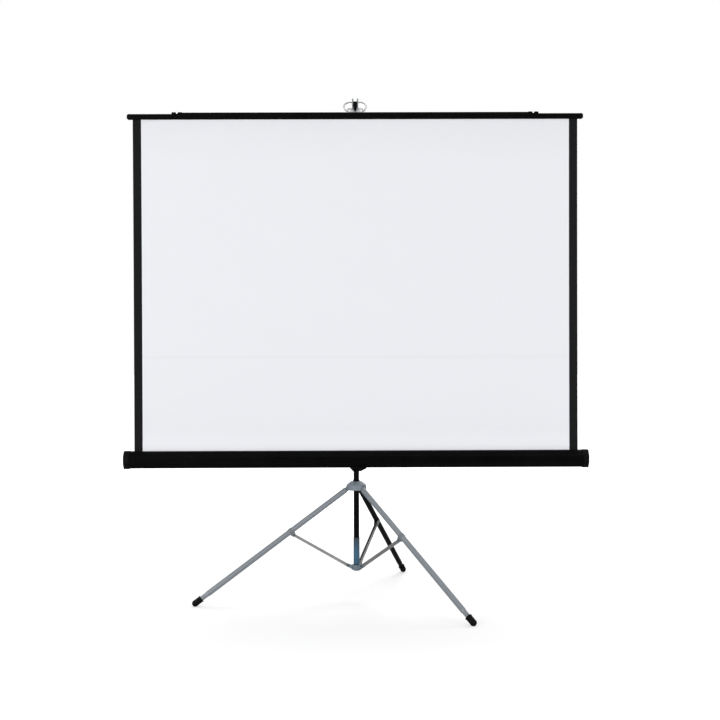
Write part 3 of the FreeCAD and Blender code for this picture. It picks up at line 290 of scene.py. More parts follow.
class Effects:
    """Surface effects that more than one finish uses, each a node group built once."""

    _built: dict[str, Tree] = {}

    @classmethod
    def _group(cls, name: str, inputs: Iterable[tuple[str, float]],
               outputs: Iterable[str]) -> tuple[Wiring, Node, Node]:
        """Start a group with its sockets.

        Args:
            name: The group's name.
            inputs: Names and default values of its inputs.
            outputs: Names of its outputs.

        Returns:
            The wiring, the input node and the output node.
        """
        tree = bpy.data.node_groups.new(name, "ShaderNodeTree")
        for label, value in inputs:
            socket = tree.interface.new_socket(label, in_out="INPUT", socket_type="NodeSocketFloat")
            socket.default_value = value
        for label in outputs:
            tree.interface.new_socket(label, in_out="OUTPUT", socket_type="NodeSocketFloat")
        cls._built[name] = tree
        wiring = Wiring(tree)
        start = tree.nodes.new("NodeGroupInput")
        end = tree.nodes.new("NodeGroupOutput")
        return wiring, start, end

    @classmethod
    def place(cls, wiring: Wiring, name: str, **values: float) -> Outputs:
        """Put a group in a material, with its values.

        Args:
            wiring: The material's wiring.
            name: One of grain, edge_rub, smudges, scratches, settled_dust, brushing and weave.
            **values: Input values.

        Returns:
            The group's outputs.
        """
        if name not in cls._built:
            getattr(cls, f"_build_{name}")()
        node = wiring.add("Group")
        node.node_tree = cls._built[name]
        return wiring.set(node, **values).outputs

    @classmethod
    def _build_grain(cls) -> None:
        """Fine moulded or orange-peel grain as a height."""
        w, start, end = cls._group("grain", (("Scale", 900.0),), ("Height",))
        w.set(end, Height=w.noise(w.place(), Scale=start.outputs["Scale"], Detail=3.0,
                                  Roughness=0.55))

    @classmethod
    def _build_edge_rub(cls) -> None:
        """Mask of edges where the paint is rubbed, broken up by noise."""
        w, start, end = cls._group("edge_rub", (("Radius", 0.0008), ("Amount", 0.4)), ("Mask",))
        soft = w.feed(w.add("Bevel", samples=4), start.outputs["Radius"])
        facing = w.add("VectorMath", operation="DOT_PRODUCT")
        w.feed(facing, soft, w.add("NewGeometry").outputs["True Normal"])
        edge = w.spread(facing.outputs["Value"], 1.0, 0.0, 0.80, 0.985)
        noise = w.noise(w.place(), Scale=160.0, Detail=5.0, Roughness=0.7)
        broken = w.spread(noise, 0.0, 1.0, 0.46, 0.62)
        w.set(end, Mask=w.product(edge, broken, start.outputs["Amount"]))

    @classmethod
    def _build_smudges(cls) -> None:
        """Broad soft patches left by hands and cleaning."""
        w, start, end = cls._group("smudges", (("Scale", 9.0), ("Contrast", 0.5)), ("Mask",))
        noise = w.noise(w.place(), Scale=start.outputs["Scale"], Detail=6.0, Roughness=0.6,
                        Distortion=0.6)
        patch = w.spread(noise, 0.0, 1.0, 0.35, 0.68)
        w.set(end, Mask=w.product(patch, start.outputs["Contrast"]))

    @classmethod
    def _build_scratches(cls) -> None:
        """Sparse hairline scratches that run mostly up and down."""
        w, start, end = cls._group("scratches", (("Density", 0.5),), ("Mask",))
        place = w.place()
        stretched = w.set(w.add("Mapping"), Vector=place, Scale=(420.0, 420.0, 14.0),
                          Rotation=(0.12, 0.31, 0.0)).outputs[0]
        line = w.spread(w.noise(stretched, Scale=1.0, Detail=2.0), 0.0, 1.0, 0.66, 0.72)
        where = w.spread(w.noise(place, Scale=12.0, Detail=2.0), 0.0, 1.0, 0.50, 0.64)
        w.set(end, Mask=w.product(line, where, start.outputs["Density"]))

    @classmethod
    def _build_settled_dust(cls) -> None:
        """Thin dust on faces that look up."""
        w, start, end = cls._group("settled_dust", (("Amount", 0.2),), ("Mask",))
        normal = w.split(w.add("NewGeometry").outputs["Normal"])
        upward = w.spread(normal["Z"], 0.0, 1.0, 0.35, 1.0)
        noise = w.noise(w.place(), Scale=55.0, Detail=6.0, Roughness=0.65)
        w.set(end, Mask=w.product(upward, noise, start.outputs["Amount"]))

    @classmethod
    def _build_brushing(cls) -> None:
        """Drawn or brushed lines along X, Y or Z, by how much each axis is stretched."""
        w, start, end = cls._group(
            "brushing", (("Across X", 900.0), ("Across Y", 900.0), ("Across Z", 20.0)), ("Height",))
        scale = w.feed(w.add("CombineXYZ"), *(start.outputs[f"Across {axis}"] for axis in "XYZ"))
        stretched = w.feed(w.add("VectorMath", operation="MULTIPLY"), w.place(), scale)
        w.set(end, Height=w.noise(stretched, Scale=1.0, Detail=4.0))

    @classmethod
    def _build_weave(cls) -> None:
        """Plain weave from crossed threads, on the cloth's own map in metres."""
        w, start, end = cls._group("weave", (("Threads", 1400.0),), ("Height", "Slub"))
        flat = w.cloth_place()
        parts = w.split(flat)
        waves = []
        for axis in "XY":
            wave = w.math("SINE", w.product(parts[axis], start.outputs["Threads"], math.pi))
            waves.append(w.math("ABSOLUTE", wave))
        w.set(end, Height=w.math("MAXIMUM", *waves),
              Slub=w.noise(flat, Scale=420.0, Detail=4.0, Roughness=0.7))


@dataclass(frozen=True)
class Finish:
    """A named finish. Each kind builds its own material once."""

    name: str
    colour: Colour

    def shaded(self, share: float, lift: float = 0.0) -> Colour:
        """The finish's colour times a share, plus a lift."""
        return tuple(min(1.0, value * share + lift) for value in self.colour)

    def material(self) -> bpy.types.Material:
        """Return the finish's material, and build it at first use."""
        known = bpy.data.materials.get(self.name)
        if known is not None:
            return known
        made = bpy.data.materials.new(self.name)
        made.use_nodes = True
        made.diffuse_color = (*self.colour, 1.0)
        made.node_tree.nodes.clear()
        wiring = Wiring(made.node_tree)
        shader = wiring.add("BsdfPrincipled")
        wiring.set(wiring.add("OutputMaterial"), Surface=shader.outputs[0])
        self.fill(wiring, shader)
        return made

    def fill(self, w: Wiring, shader: Node) -> None:
        """Wire the finish into its Principled shader."""
        raise NotImplementedError

    @staticmethod
    def raise_from(w: Wiring, shader: Node, height: Socket,
                   distance: float, strength: float) -> None:
        """Bump the shader's normal by a height's relief, its depth in metres."""
        bump = w.set(w.add("Bump"), Height=height, Distance=distance, Strength=strength)
        w.set(shader, Normal=bump.outputs[0])


@dataclass(frozen=True)
class Enamel(Finish):
    """Baked paint on steel, with rubbed edges, hairlines, smudges, a little dust and, where asked,
    painted shade that darkens it towards the top.
    """

    roughness: float = 0.38
    smudge_roughness: float = 0.14
    dust_roughness: float = 0.5
    specular: float = 0.4
    coat: float = 0.0
    coat_roughness: float = 0.12
    wear: Wear = Wear.HANDLED
    line_share: float = 0.35
    rub_radius: float = 0.0009
    dust: float = 0.10
    dust_colour: Colour = (0.38, 0.37, 0.35)
    under: Colour = (0.42, 0.43, 0.44)
    peel: float = 700.0
    peel_depth: float = 0.00012
    peel_strength: float = 0.25
    # Painted shade: the near-black colour that the paint turns to towards the top, standing in for
    # a darker reflection there.
    overspray: Colour = (0.0022, 0.0022, 0.0024)
    fade_from: float = 0.0
    fade_to: float = 0.0

    def fill(self, w: Wiring, shader: Node) -> None:
        """Wire paint over steel.

        Args:
            w: The material's wiring.
            shader: The Principled shader.
        """
        smudge = Effects.place(w, "smudges", Scale=8.0, Contrast=0.5)["Mask"]
        paint = w.blend(smudge, self.colour, self.shaded(1.14, 0.002))
        # Painted shade: higher up, the paint blends into a near-black colour, darker towards the
        # top.
        if self.fade_to > 0.0:
            height = w.split(w.place())["Z"]
            top_shade_share = w.spread(height, 0.0, 1.0, self.fade_from, self.fade_to)
            paint = w.blend(top_shade_share, paint, self.overspray)
        worn = self.wear.value
        line = Effects.place(w, "scratches", Density=worn * self.line_share)["Mask"]
        marked = w.blend(line, paint, self.shaded(0.6, 0.08))
        rubbed = Effects.place(w, "edge_rub", Radius=self.rub_radius, Amount=worn)["Mask"]
        bare = w.blend(rubbed, marked, self.under)
        dust = Effects.place(w, "settled_dust", Amount=self.dust)["Mask"]
        dulled = w.math("ADD", w.product(smudge, self.smudge_roughness),
                        w.product(dust, self.dust_roughness))
        w.set(shader, Base_Color=w.blend(dust, bare, self.dust_colour),
              Roughness=w.math("ADD", dulled, self.roughness), Metallic=w.product(rubbed, 0.8),
              Specular_IOR_Level=self.specular, Coat_Weight=self.coat,
              Coat_Roughness=self.coat_roughness)
        peel = Effects.place(w, "grain", Scale=self.peel)["Height"]
        self.raise_from(w, shader, peel, self.peel_depth, self.peel_strength)


@dataclass(frozen=True)
class Metal(Finish):
    """Plated, drawn or brushed metal, with lines along one axis and faint tarnish."""

    roughness: float = 0.25
    across: tuple[float, float, float] = (700.0, 700.0, 25.0)
    tarnish: float = 0.3
    tarnish_roughness: float = 0.22
    relief: float = 0.2
    relief_depth: float = 0.00008

    def fill(self, w: Wiring, shader: Node) -> None:
        """Wire brushed metal.

        Args:
            w: The material's wiring.
            shader: The Principled shader.
        """
        x, y, z = self.across
        lines = Effects.place(w, "brushing", Across_X=x, Across_Y=y, Across_Z=z)["Height"]
        smudge = Effects.place(w, "smudges", Scale=40.0, Contrast=self.tarnish)["Mask"]
        worn = w.math("ADD", w.spread(lines, -0.06, 0.10),
                      w.product(smudge, self.tarnish_roughness))
        w.set(shader, Base_Color=w.blend(smudge, self.colour, self.shaded(0.62)), Metallic=1.0,
              Roughness=w.math("ADD", worn, self.roughness))
        self.raise_from(w, shader, lines, self.relief_depth, self.relief)


@dataclass(frozen=True)
class Moulding(Finish):
    """Moulded plastic or rubber, with spark-eroded grain and scuffs."""

    roughness: float = 0.5
    specular: float = 0.35
    grain: float = 1500.0
    relief: float = 0.5
    relief_depth: float = 0.0001
    scuff: Colour = (0.10, 0.10, 0.10)
    scuffing: float = 0.35
    dust: float = 0.12
    dust_colour: Colour = (0.33, 0.32, 0.31)

    def fill(self, w: Wiring, shader: Node) -> None:
        """Wire grained plastic.

        Args:
            w: The material's wiring.
            shader: The Principled shader.
        """
        line = Effects.place(w, "scratches", Density=self.scuffing)["Mask"]
        rubbed = Effects.place(w, "edge_rub", Radius=0.0007, Amount=self.scuffing)["Mask"]
        scuffed = w.blend(w.math("MAXIMUM", line, rubbed), self.colour, self.scuff)
        dust = Effects.place(w, "settled_dust", Amount=self.dust)["Mask"]
        smudge = Effects.place(w, "smudges", Scale=25.0, Contrast=0.4)["Mask"]
        w.set(shader, Base_Color=w.blend(dust, scuffed, self.dust_colour),
              Roughness=w.math("ADD", w.product(smudge, 0.2), self.roughness),
              Specular_IOR_Level=self.specular)
        grain = Effects.place(w, "grain", Scale=self.grain)["Height"]
        self.raise_from(w, shader, grain, self.relief_depth, self.relief)


@dataclass(frozen=True)
class ScreenCloth(Finish):
    """Coated screen cloth, matt and finely woven, with painted shade along a wound crease and a
    weld line, painted light towards its lower edge and painted shade under the slat.

    Heights are on the flat cloth, in metres above its lower edge.
    """

    roughness: float = 0.88
    sheen: float = 0.15
    threads: float = 1400.0
    shade: float = 0.93
    # Painted shade along the wound crease and the hem weld line.
    crease: float = 0.06
    crease_height: float = 0.4025
    hem: float = 0.05
    hem_height: float = 1.331
    # Painted light: the cloth is lighter towards its lower edge, set against the shade from the
    # case below.
    fresh: float = 1.13
    fresh_reach: float = 0.12
    # Painted shade: the cloth is darker towards its top, under the slat.
    soiled: float = 0.95
    soiled_from: float = 1.17
    relief: float = 0.35
    relief_depth: float = 0.0006

    def fill(self, w: Wiring, shader: Node) -> None:
        """Wire woven cloth.

        Args:
            w: The material's wiring.
            shader: The Principled shader.
        """
        weave = Effects.place(w, "weave", Threads=self.threads)
        spotted = w.spread(weave["Slub"], 0.0, 1.0, 0.40, 0.75)
        base = w.blend(w.product(spotted, 0.5), self.colour, self.shaded(self.shade))
        flat = w.cloth_place()
        height = w.split(flat)["Y"]
        # Painted light: lighter towards the cloth's lower edge.
        bottom_light_share = w.spread(height, 1.0, 0.0, 0.0, self.fresh_reach)
        base = w.blend(bottom_light_share, base, self.shaded(self.fresh))
        # Painted shade: darker towards the top of the cloth, under the slat.
        slat_shade_share = w.spread(height, 0.0, 1.0, self.soiled_from, self.hem_height)
        base = w.blend(slat_shade_share, base, self.shaded(self.soiled))
        near_crease, near_hem = (w.math("ABSOLUTE", w.math("SUBTRACT", height, line))
                                 for line in (self.crease_height, self.hem_height))
        # Painted shade: darker colour lines along the crease and the hem weld.
        line = w.math("MAXIMUM", w.spread(near_crease, self.crease, 0.0, 0.0010, 0.0100),
                      w.spread(near_hem, self.hem, 0.0, 0.0006, 0.0022))
        w.set(shader, Base_Color=w.blend(line, base, self.shaded(0.55)), Roughness=self.roughness,
              Sheen_Weight=self.sheen, Sheen_Roughness=0.6, Specular_IOR_Level=0.2)
        ripple = w.noise(flat, Scale=5.0, Detail=2.0)
        mixed = w.math("ADD", w.product(weave["Height"], 0.12), w.product(ripple, 2.0))
        self.raise_from(w, shader, mixed, self.relief_depth, self.relief)


class Palette:
    """Every finish on the object."""

    CASE = Enamel("case_black_enamel", (0.0012, 0.0012, 0.0016), roughness=0.36, specular=0.020,
                  wear=Wear.FRESH, dust=0.012)
    SLAT = Enamel("slat_black_enamel", (0.0014, 0.0014, 0.0015), specular=0.024, wear=Wear.FRESH,
                  dust=0.012)
    MAST = Enamel("mast_black_gloss", (0.0018, 0.0018, 0.0020), roughness=0.22, specular=0.035,
                  wear=Wear.FRESH, dust=0.0)
    REAR_LEG = Enamel("rear_leg_black", (0.0016, 0.0016, 0.0019), roughness=0.34, specular=0.035,
                      dust=0.012)
    CASTING = Enamel("carriage_black_paint", (0.0018, 0.0018, 0.0018), roughness=0.42,
                     specular=0.04, dust=0.015, peel=420.0)
    LEG = Enamel("leg_grey_enamel", (0.188, 0.212, 0.236), roughness=0.27, specular=0.8, coat=0.1,
                 dust=0.03)
    HUB = Enamel("hub_grey_casting", (0.196, 0.232, 0.268), roughness=0.42, specular=0.35,
                 dust=0.03, peel=380.0)
    COLLAR = Enamel("collar_grey_casting", (0.135, 0.175, 0.205), roughness=0.42, specular=0.35,
                    dust=0.03, peel=380.0)
    # The sleeve's upper part is painted shade, near-black towards its top.
    SLEEVE = Enamel("sleeve_blue_enamel", (0.020, 0.100, 0.178), roughness=0.27, specular=0.5,
                    coat=0.35, dust=0.02, fade_from=0.190, fade_to=0.258)
    BRACKET = Enamel("bracket_grey", (0.17, 0.185, 0.20), roughness=0.4, wear=Wear.KNOCKED,
                     dust=0.03)
    BRACE = Metal("brace_zinc_strip", (0.29, 0.29, 0.296), roughness=0.42, tarnish=0.55,
                  across=(500.0, 500.0, 500.0))
    ROD = Metal("rod_bright_plate", (0.68, 0.69, 0.70), roughness=0.16, tarnish=0.2)
    BAIL = Metal("bail_nickel_wire", (0.46, 0.46, 0.47), roughness=0.20,
                 across=(300.0, 300.0, 300.0))
    PLATE = Metal("bail_plate_zinc", (0.48, 0.48, 0.495), roughness=0.44, tarnish=0.45,
                  across=(30.0, 800.0, 800.0))
    FORK = Metal("fork_grey_steel", (0.22, 0.23, 0.245), roughness=0.38, tarnish=0.4)
    STUD = Metal("stud_chrome", (0.78, 0.78, 0.79), roughness=0.12, tarnish=0.15)
    ZINC = Metal("zinc_plated_pins", (0.60, 0.60, 0.58), roughness=0.28, tarnish=0.35)
    RIVET = Metal("rivet_dark_steel", (0.11, 0.11, 0.115), roughness=0.34, tarnish=0.5)
    ROLLER = Metal("roller_zinc_tube", (0.55, 0.56, 0.57), roughness=0.34, tarnish=0.4,
                   across=(20.0, 700.0, 700.0))
    SPRING = Metal("spring_oiled_steel", (0.22, 0.22, 0.23), roughness=0.4, tarnish=0.5)
    PLASTIC = Moulding("moulded_black_plastic", (0.0016, 0.0016, 0.0018), roughness=0.42,
                       specular=0.045, scuff=(0.012, 0.012, 0.012), dust=0.012, relief=0.25)
    RUBBER = Moulding("ribbed_black_rubber", (0.0022, 0.0022, 0.0022), roughness=0.40,
                      specular=0.07, grain=900.0, relief=0.7, scuff=(0.03, 0.03, 0.028),
                      dust=0.015)
    NYLON = Moulding("moulded_white_nylon", (0.74, 0.73, 0.69), roughness=0.42, specular=0.4,
                     scuff=(0.5, 0.48, 0.44), grain=700.0, relief=0.2, dust=0.1)
    FIBRE = Moulding("red_fibre_washer", (0.16, 0.04, 0.02), roughness=0.8, specular=0.2,
                     grain=1200.0, scuff=(0.2, 0.08, 0.05))
    PICTURE = ScreenCloth("picture_cloth_white", (0.84, 0.85, 0.885))
    BORDER = ScreenCloth("border_cloth_black", (0.0055, 0.0055, 0.0062), sheen=0.01, crease=0.0)
    BACKING = ScreenCloth("backing_cloth_dark", (0.020, 0.020, 0.021), sheen=0.1, crease=0.0)


class Shaping:
    """Mesh building shared by the sub-assemblies."""

    @staticmethod
    def verts_of(grown: dict[str, list]) -> list[bmesh.types.BMVert]:
        """Pick the vertices out of what an extrusion made."""
        return [item for item in grown["geom"] if isinstance(item, bmesh.types.BMVert)]

    @staticmethod
    def cut(bm: Skin, point: Sequence[float], normal: Sequence[float],
            clear: bool = False) -> None:
        """Cut a mesh along a plane, and clear what lies past it if asked."""
        bmesh.ops.bisect_plane(bm, geom=bm.verts[:] + bm.edges[:] + bm.faces[:], dist=1e-7,
                               plane_co=point, plane_no=normal, clear_outer=clear)

    @staticmethod
    def dome(radius: float, rise: float, base: float, steps: int) -> list[tuple[float, float]]:
        """Quarter of an ellipse from its rim to the axis, as radii and heights."""
        angles = [QUARTER_TURN * step / steps for step in range(steps + 1)]
        return [(radius * math.cos(angle), base + rise * math.sin(angle)) for angle in angles]

    @staticmethod
    def turned(profile: Sequence[tuple[float, float]], steps: int = 48) -> Skin:
        """Turn a profile of radii and heights about Z into a closed skin.

        Args:
            profile: Radii and heights, in metres.
            steps: Number of faces round it.

        Returns:
            The mesh in progress.
        """
        bm = bmesh.new()
        verts = [bm.verts.new((radius, 0.0, height)) for radius, height in profile]
        edges = [bm.edges.new(pair) for pair in zip(verts, verts[1:])]
        bmesh.ops.spin(bm, geom=verts + edges, cent=(0, 0, 0), axis=(0, 0, 1), angle=math.tau,
                       steps=steps, use_merge=True)
        bmesh.ops.remove_doubles(bm, verts=bm.verts, dist=1e-6)
        bmesh.ops.recalc_face_normals(bm, faces=bm.faces)
        return bm

    @staticmethod
    def round_edges(bm: Skin, edges: list[bmesh.types.BMEdge], radius: float) -> None:
        """Round the given edges by a radius in metres."""
        bmesh.ops.bevel(bm, geom=edges, offset=radius, affect="EDGES", segments=3, profile=0.5,
                        material=-1, offset_type="OFFSET", clamp_overlap=True)

    @staticmethod
    def finished(bm: Skin, name: str, finishes: Sequence[Finish], body: str,
                 slot: str, sharp: float = 35.0) -> bpy.types.Object:
        """Make an object of a mesh, with its finishes, and let it ride on a body.

        Args:
            bm: The mesh in progress.
            name: The piece's name.
            finishes: Finishes by material index.
            body: The CAD body that carries it.
            slot: The record's material slot; not used.
            sharp: Angle in degrees past which an edge stays sharp.

        Returns:
            The new object.
        """
        mesh = bpy.data.meshes.new(name)
        bm.to_mesh(mesh)
        bm.free()
        for finish in finishes:
            mesh.materials.append(finish.material())
        mesh.shade_smooth()
        mesh.set_sharp_from_angle(angle=math.radians(sharp))
        piece = bpy.data.objects.new(name, mesh)
        bpy.context.scene.collection.objects.link(piece)
        if body:
            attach(piece, body)
        log.info("%s: %d faces", name, len(mesh.polygons))
        return piece

    @staticmethod
    def joined(parts: Sequence[Skin]) -> Skin:
        """Put several meshes in one.

        Args:
            parts: The meshes in progress, which are freed.

        Returns:
            One mesh with all of them.
        """
        whole = bmesh.new()
        for part in parts:
            held = bpy.data.meshes.new("held")
            part.to_mesh(held)
            part.free()
            whole.from_mesh(held)
            bpy.data.meshes.remove(held)
        return whole


@dataclass
class ScreenFabric:
    """The stretched cloth and what is wound on the roller."""

    width: float = 1.750
    border: float = 0.033
    top: float = 1.9110
    thickness: float = 0.0005
    bow: float = 0.0006
    ripple: float = 0.0009
    broad_waves: float = 15.0
    fine_waves: float = 31.0
    fine_share: float = 0.4
    wound_map_from: float = 2.0
    turns: float = 3.0
    steps_per_turn: int = 40
    roll_core: float = 0.0123
    pitch: float = 0.0008

    def build(self) -> None:
        """Make both pieces."""
        self.stretched()
        self.wound()

    def _shape(self, x: float, z: float) -> tuple[float, float, float]:
        """Place of a point of the flat cloth once it is pulled taut.

        Args:
            x: Place across the cloth.
            z: Height.

        Returns:
            The point in the frame.
        """
        low = LAYOUT.case_height
        share = (z - low) / (self.top - low)
        belly = math.sin(math.pi * min(1.0, max(0.0, share)))
        edge = (abs(x) * 2.0 / self.width) ** 3
        side = -self.bow if x > 0 else self.bow
        broad = math.sin(x * self.broad_waves + 0.6) * (1.0 - self.fine_share)
        fine = math.sin(x * self.fine_waves + z * 2.0) * self.fine_share
        depth = self.ripple * (broad + fine) * belly * belly
        return x + side * edge * belly, LAYOUT.cloth_y + depth, z

    def stretched(self) -> None:
        """The taut cloth, white between black side borders, dark behind."""
        low = LAYOUT.case_height
        height = self.top - low
        bm = bmesh.new()
        bmesh.ops.create_grid(bm, x_segments=70, y_segments=54, size=0.5)
        bmesh.ops.scale(bm, vec=(self.width, height, 1.0), verts=bm.verts)
        inner = self.width / 2 - self.border
        for side in Side:
            Shaping.cut(bm, (side.value * inner, 0.0, 0.0), (1, 0, 0))
        cloth_map = bm.loops.layers.uv.new(CLOTH_MAP)
        for face in bm.faces:
            for corner in face.loops:
                corner[cloth_map].uv = (corner.vert.co.x + self.width / 2,
                                        corner.vert.co.y + height / 2)
        for vert in bm.verts:
            vert.co = self._shape(vert.co.x, vert.co.y + low + height / 2)
        bmesh.ops.recalc_face_normals(bm, faces=bm.faces)
        if bm.faces[0].normal.y > 0:
            bmesh.ops.reverse_faces(bm, faces=bm.faces)
        for face in bm.faces:
            flat_x = sum(corner[cloth_map].uv.x for corner in face.loops) / len(face.loops)
            face.material_index = 1 if abs(flat_x - self.width / 2) > inner else 0
        bmesh.ops.solidify(bm, geom=bm.faces[:], thickness=self.thickness)
        bm.normal_update()
        for face in bm.faces:
            if face.normal.y > 0.5:
                face.material_index = 2
        shift = LAYOUT.cloth_y - sum(vert.co.y for vert in bm.verts) / len(bm.verts)
        bmesh.ops.translate(bm, vec=(0.0, shift, 0.0), verts=bm.verts)
        piece = Shaping.finished(bm, "stretched_cloth", (Palette.PICTURE, Palette.BORDER,
                                                         Palette.BACKING), "", "screen_fabric")
        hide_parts("fabric_sheet")
        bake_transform(piece)

    def wound(self) -> None:
        """The last turns of cloth on the roller, a true spiral."""
        bm = bmesh.new()
        steps = int(self.turns * self.steps_per_turn)
        verts = []
        for index in range(steps + 1):
            angle = -math.tau * self.turns * (1.0 - index / steps)
            radius = self.roll_core + self.pitch * self.turns * index / steps
            point = Vector((-self.width / 2, radius * math.cos(angle), radius * math.sin(angle)))
            verts.append(bm.verts.new(point))
        edges = [bm.edges.new(pair) for pair in zip(verts, verts[1:])]
        moved = bmesh.ops.extrude_edge_only(bm, edges=edges)
        bmesh.ops.translate(bm, vec=(self.width, 0.0, 0.0), verts=Shaping.verts_of(moved))
        cloth_map = bm.loops.layers.uv.new(CLOTH_MAP)
        for face in bm.faces:
            for corner in face.loops:
                co = corner.vert.co
                corner[cloth_map].uv = (co.x + self.width / 2,
                                        self.wound_map_from + math.hypot(co.y, co.z))
        bmesh.ops.solidify(bm, geom=bm.faces[:], thickness=self.thickness)
        bmesh.ops.recalc_face_normals(bm, faces=bm.faces)
        bmesh.ops.translate(bm, vec=(0.0, LAYOUT.roller_y, LAYOUT.case_height), verts=bm.verts)
        piece = Shaping.finished(bm, "wound_cloth", (Palette.BACKING,), "roller", "screen_fabric")
        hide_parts("fabric_roll")


@dataclass
class RollerCase:
    """End caps, screws and slot lips of the eight-sided case."""

    half_length: float = 0.9125
    cap_flats: float = 0.070
    case_flats: float = 0.065
    cap_length: float = 0.022
    cap_floor: float = 0.004
    rim_height: float = 0.0010
    rim_width: float = 0.0045
    rim_round: float = 0.0012
    screw_radius: float = 0.0035
    screw_height: float = 0.0015
    screw_taper: float = 0.78
    screw_spread: float = 0.020
    screw_turn: float = 0.6
    recess_width: float = 0.13
    recess_reach: float = 0.5
    recess_depth: float = 0.6
    slot_low: float = 0.0044
    slot_high: float = 0.0110
    lip_width: float = 0.0018
    lip_height: float = 0.0014
    lip_clearance: float = 0.0008
    lip_lift: float = 0.0006
    lip_round: float = 0.0005
    lip_inset: float = 0.023

    def build(self) -> None:
        """Make every piece of the case."""
        for side in Side:
            self.end_cap(side)
        self.screws()
        self.lips()

    def end_cap(self, side: Side) -> None:
        """A moulded cap: a cup over the case's end, with a rounded rim round its face.

        Args:
            side: The end it closes.
        """
        corner = self.cap_flats / 2 / math.cos(math.pi / 8)
        rim_top = self.cap_length + self.rim_height
        bm = bmesh.new()
        bmesh.ops.create_circle(bm, cap_ends=True, segments=8, radius=corner,
                                matrix=Matrix.Rotation(math.pi / 8, 4, "Z"))
        grown = bmesh.ops.extrude_face_region(bm, geom=bm.faces[:])
        bmesh.ops.translate(bm, vec=(0, 0, rim_top), verts=Shaping.verts_of(grown))
        bmesh.ops.recalc_face_normals(bm, faces=bm.faces)
        mouth = min(bm.faces, key=lambda face: face.calc_center_median().z)
        wall = (self.cap_flats - self.case_flats) / 2
        bmesh.ops.inset_region(bm, faces=[mouth], thickness=wall, depth=0.0, use_even_offset=True)
        mouth = next(face for face in bm.faces if face.normal.z < -0.9
                     and face.calc_center_median().to_2d().length < 0.001)
        sunk = bmesh.ops.extrude_face_region(bm, geom=[mouth])
        bmesh.ops.delete(bm, geom=[mouth], context="FACES_ONLY")
        bmesh.ops.translate(bm, vec=(0, 0, self.cap_length - self.cap_floor),
                            verts=Shaping.verts_of(sunk))
        top = max(bm.faces, key=lambda face: face.calc_center_median().z)
        bmesh.ops.inset_region(bm, faces=[top], thickness=self.rim_width, depth=-self.rim_height,
                               use_even_offset=True)
        outer = [edge for edge in bm.edges
                 if all(vert.co.to_2d().length > corner - 1e-5 for vert in edge.verts)]
        rim = [edge for edge in outer
               if all(abs(vert.co.z - rim_top) < 1e-6 for vert in edge.verts)]
        upright = [edge for edge in outer
                   if abs(edge.verts[0].co.z - edge.verts[1].co.z) > self.cap_length / 2]
        Shaping.round_edges(bm, rim + upright, self.rim_round)
        bmesh.ops.recalc_face_normals(bm, faces=bm.faces)
        bmesh.ops.translate(bm, vec=(0, 0, self.half_length - self.cap_length), verts=bm.verts)
        outward = Matrix.Rotation(side.value * QUARTER_TURN, 4, "Y")
        axis = Matrix.Translation((0.0, LAYOUT.case_y, LAYOUT.case_height))
        bmesh.ops.transform(bm, matrix=axis @ outward, verts=bm.verts)
        piece = Shaping.finished(bm, f"{side.word}_moulded_cap", (Palette.PLASTIC,), "case",
                                 "black_plastic")
        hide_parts(f"{side.word}_end_cap")

    def cross_screw(self) -> Skin:
        """A pan-head screw with a cross recess, standing on Z.

        Returns:
            The mesh in progress.
        """
        radius, height = self.screw_radius, self.screw_height
        arm, reach = radius * self.recess_width, radius * self.recess_reach
        top_height = height * 0.99
        bm = bmesh.new()
        bmesh.ops.create_cone(bm, cap_ends=True, segments=24, radius1=radius,
                              radius2=radius * self.screw_taper, depth=height)
        bmesh.ops.translate(bm, vec=(0, 0, height / 2), verts=bm.verts)
        for normal in ((1, 0, 0), (0, 1, 0)):
            for offset in (-reach, -arm, arm, reach):
                top = [face for face in bm.faces if face.calc_center_median().z > top_height]
                edges = dict.fromkeys(edge for face in top for edge in face.edges)
                verts = dict.fromkeys(vert for face in top for vert in face.verts)
                bmesh.ops.bisect_plane(bm, geom=[*verts, *edges, *top], dist=1e-8,
                                       plane_co=Vector(normal) * offset, plane_no=normal)
        cross = []
        for face in bm.faces:
            x, y, z = map(abs, face.calc_center_median())
            if z > top_height and min(x, y) < arm and max(x, y) < reach:
                cross.append(face)
        sunk = bmesh.ops.extrude_face_region(bm, geom=cross)
        bmesh.ops.delete(bm, geom=cross, context="FACES_KEEP_BOUNDARY")
        bmesh.ops.translate(bm, vec=(0, 0, -height * self.recess_depth),
                            verts=Shaping.verts_of(sunk))
        return bm

    def screws(self) -> None:
        """Two screws in each cap."""
        parts = []
        for side in Side:
            for up in (-1.0, 1.0):
                bm = self.cross_screw()
                turned = Matrix.Rotation(up * self.screw_turn, 4, "Z")
                outward = Matrix.Rotation(side.value * QUARTER_TURN, 4, "Y")
                place = Matrix.Translation((side.value * self.half_length, LAYOUT.case_y,
                                            LAYOUT.case_height + up * self.screw_spread))
                bmesh.ops.transform(bm, matrix=place @ outward @ turned, verts=bm.verts)
                parts.append(bm)
        piece = Shaping.finished(Shaping.joined(parts), "cap_screw_heads", (Palette.ZINC,), "case",
                                 "bright_pins")
        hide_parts("end_cap_screws")

    def lips(self) -> None:
        """Rolled lips along both sides of the cloth's slot."""
        height = LAYOUT.case_height + self.case_flats / 2 + self.lip_lift
        length = 2 * (self.half_length - self.lip_inset)
        parts = []
        for edge in (self.slot_low - self.lip_clearance, self.slot_high + self.lip_clearance):
            bm = bmesh.new()
            bmesh.ops.create_cube(bm, size=1.0)
            bmesh.ops.scale(bm, vec=(length, self.lip_width, self.lip_height), verts=bm.verts)
            Shaping.round_edges(bm, list(bm.edges), self.lip_round)
            bmesh.ops.translate(bm, vec=(0.0, LAYOUT.case_y + edge, height), verts=bm.verts)
            parts.append(bm)
        Shaping.finished(Shaping.joined(parts), "slot_lips", (Palette.PLASTIC,), "case",
                         "black_plastic")


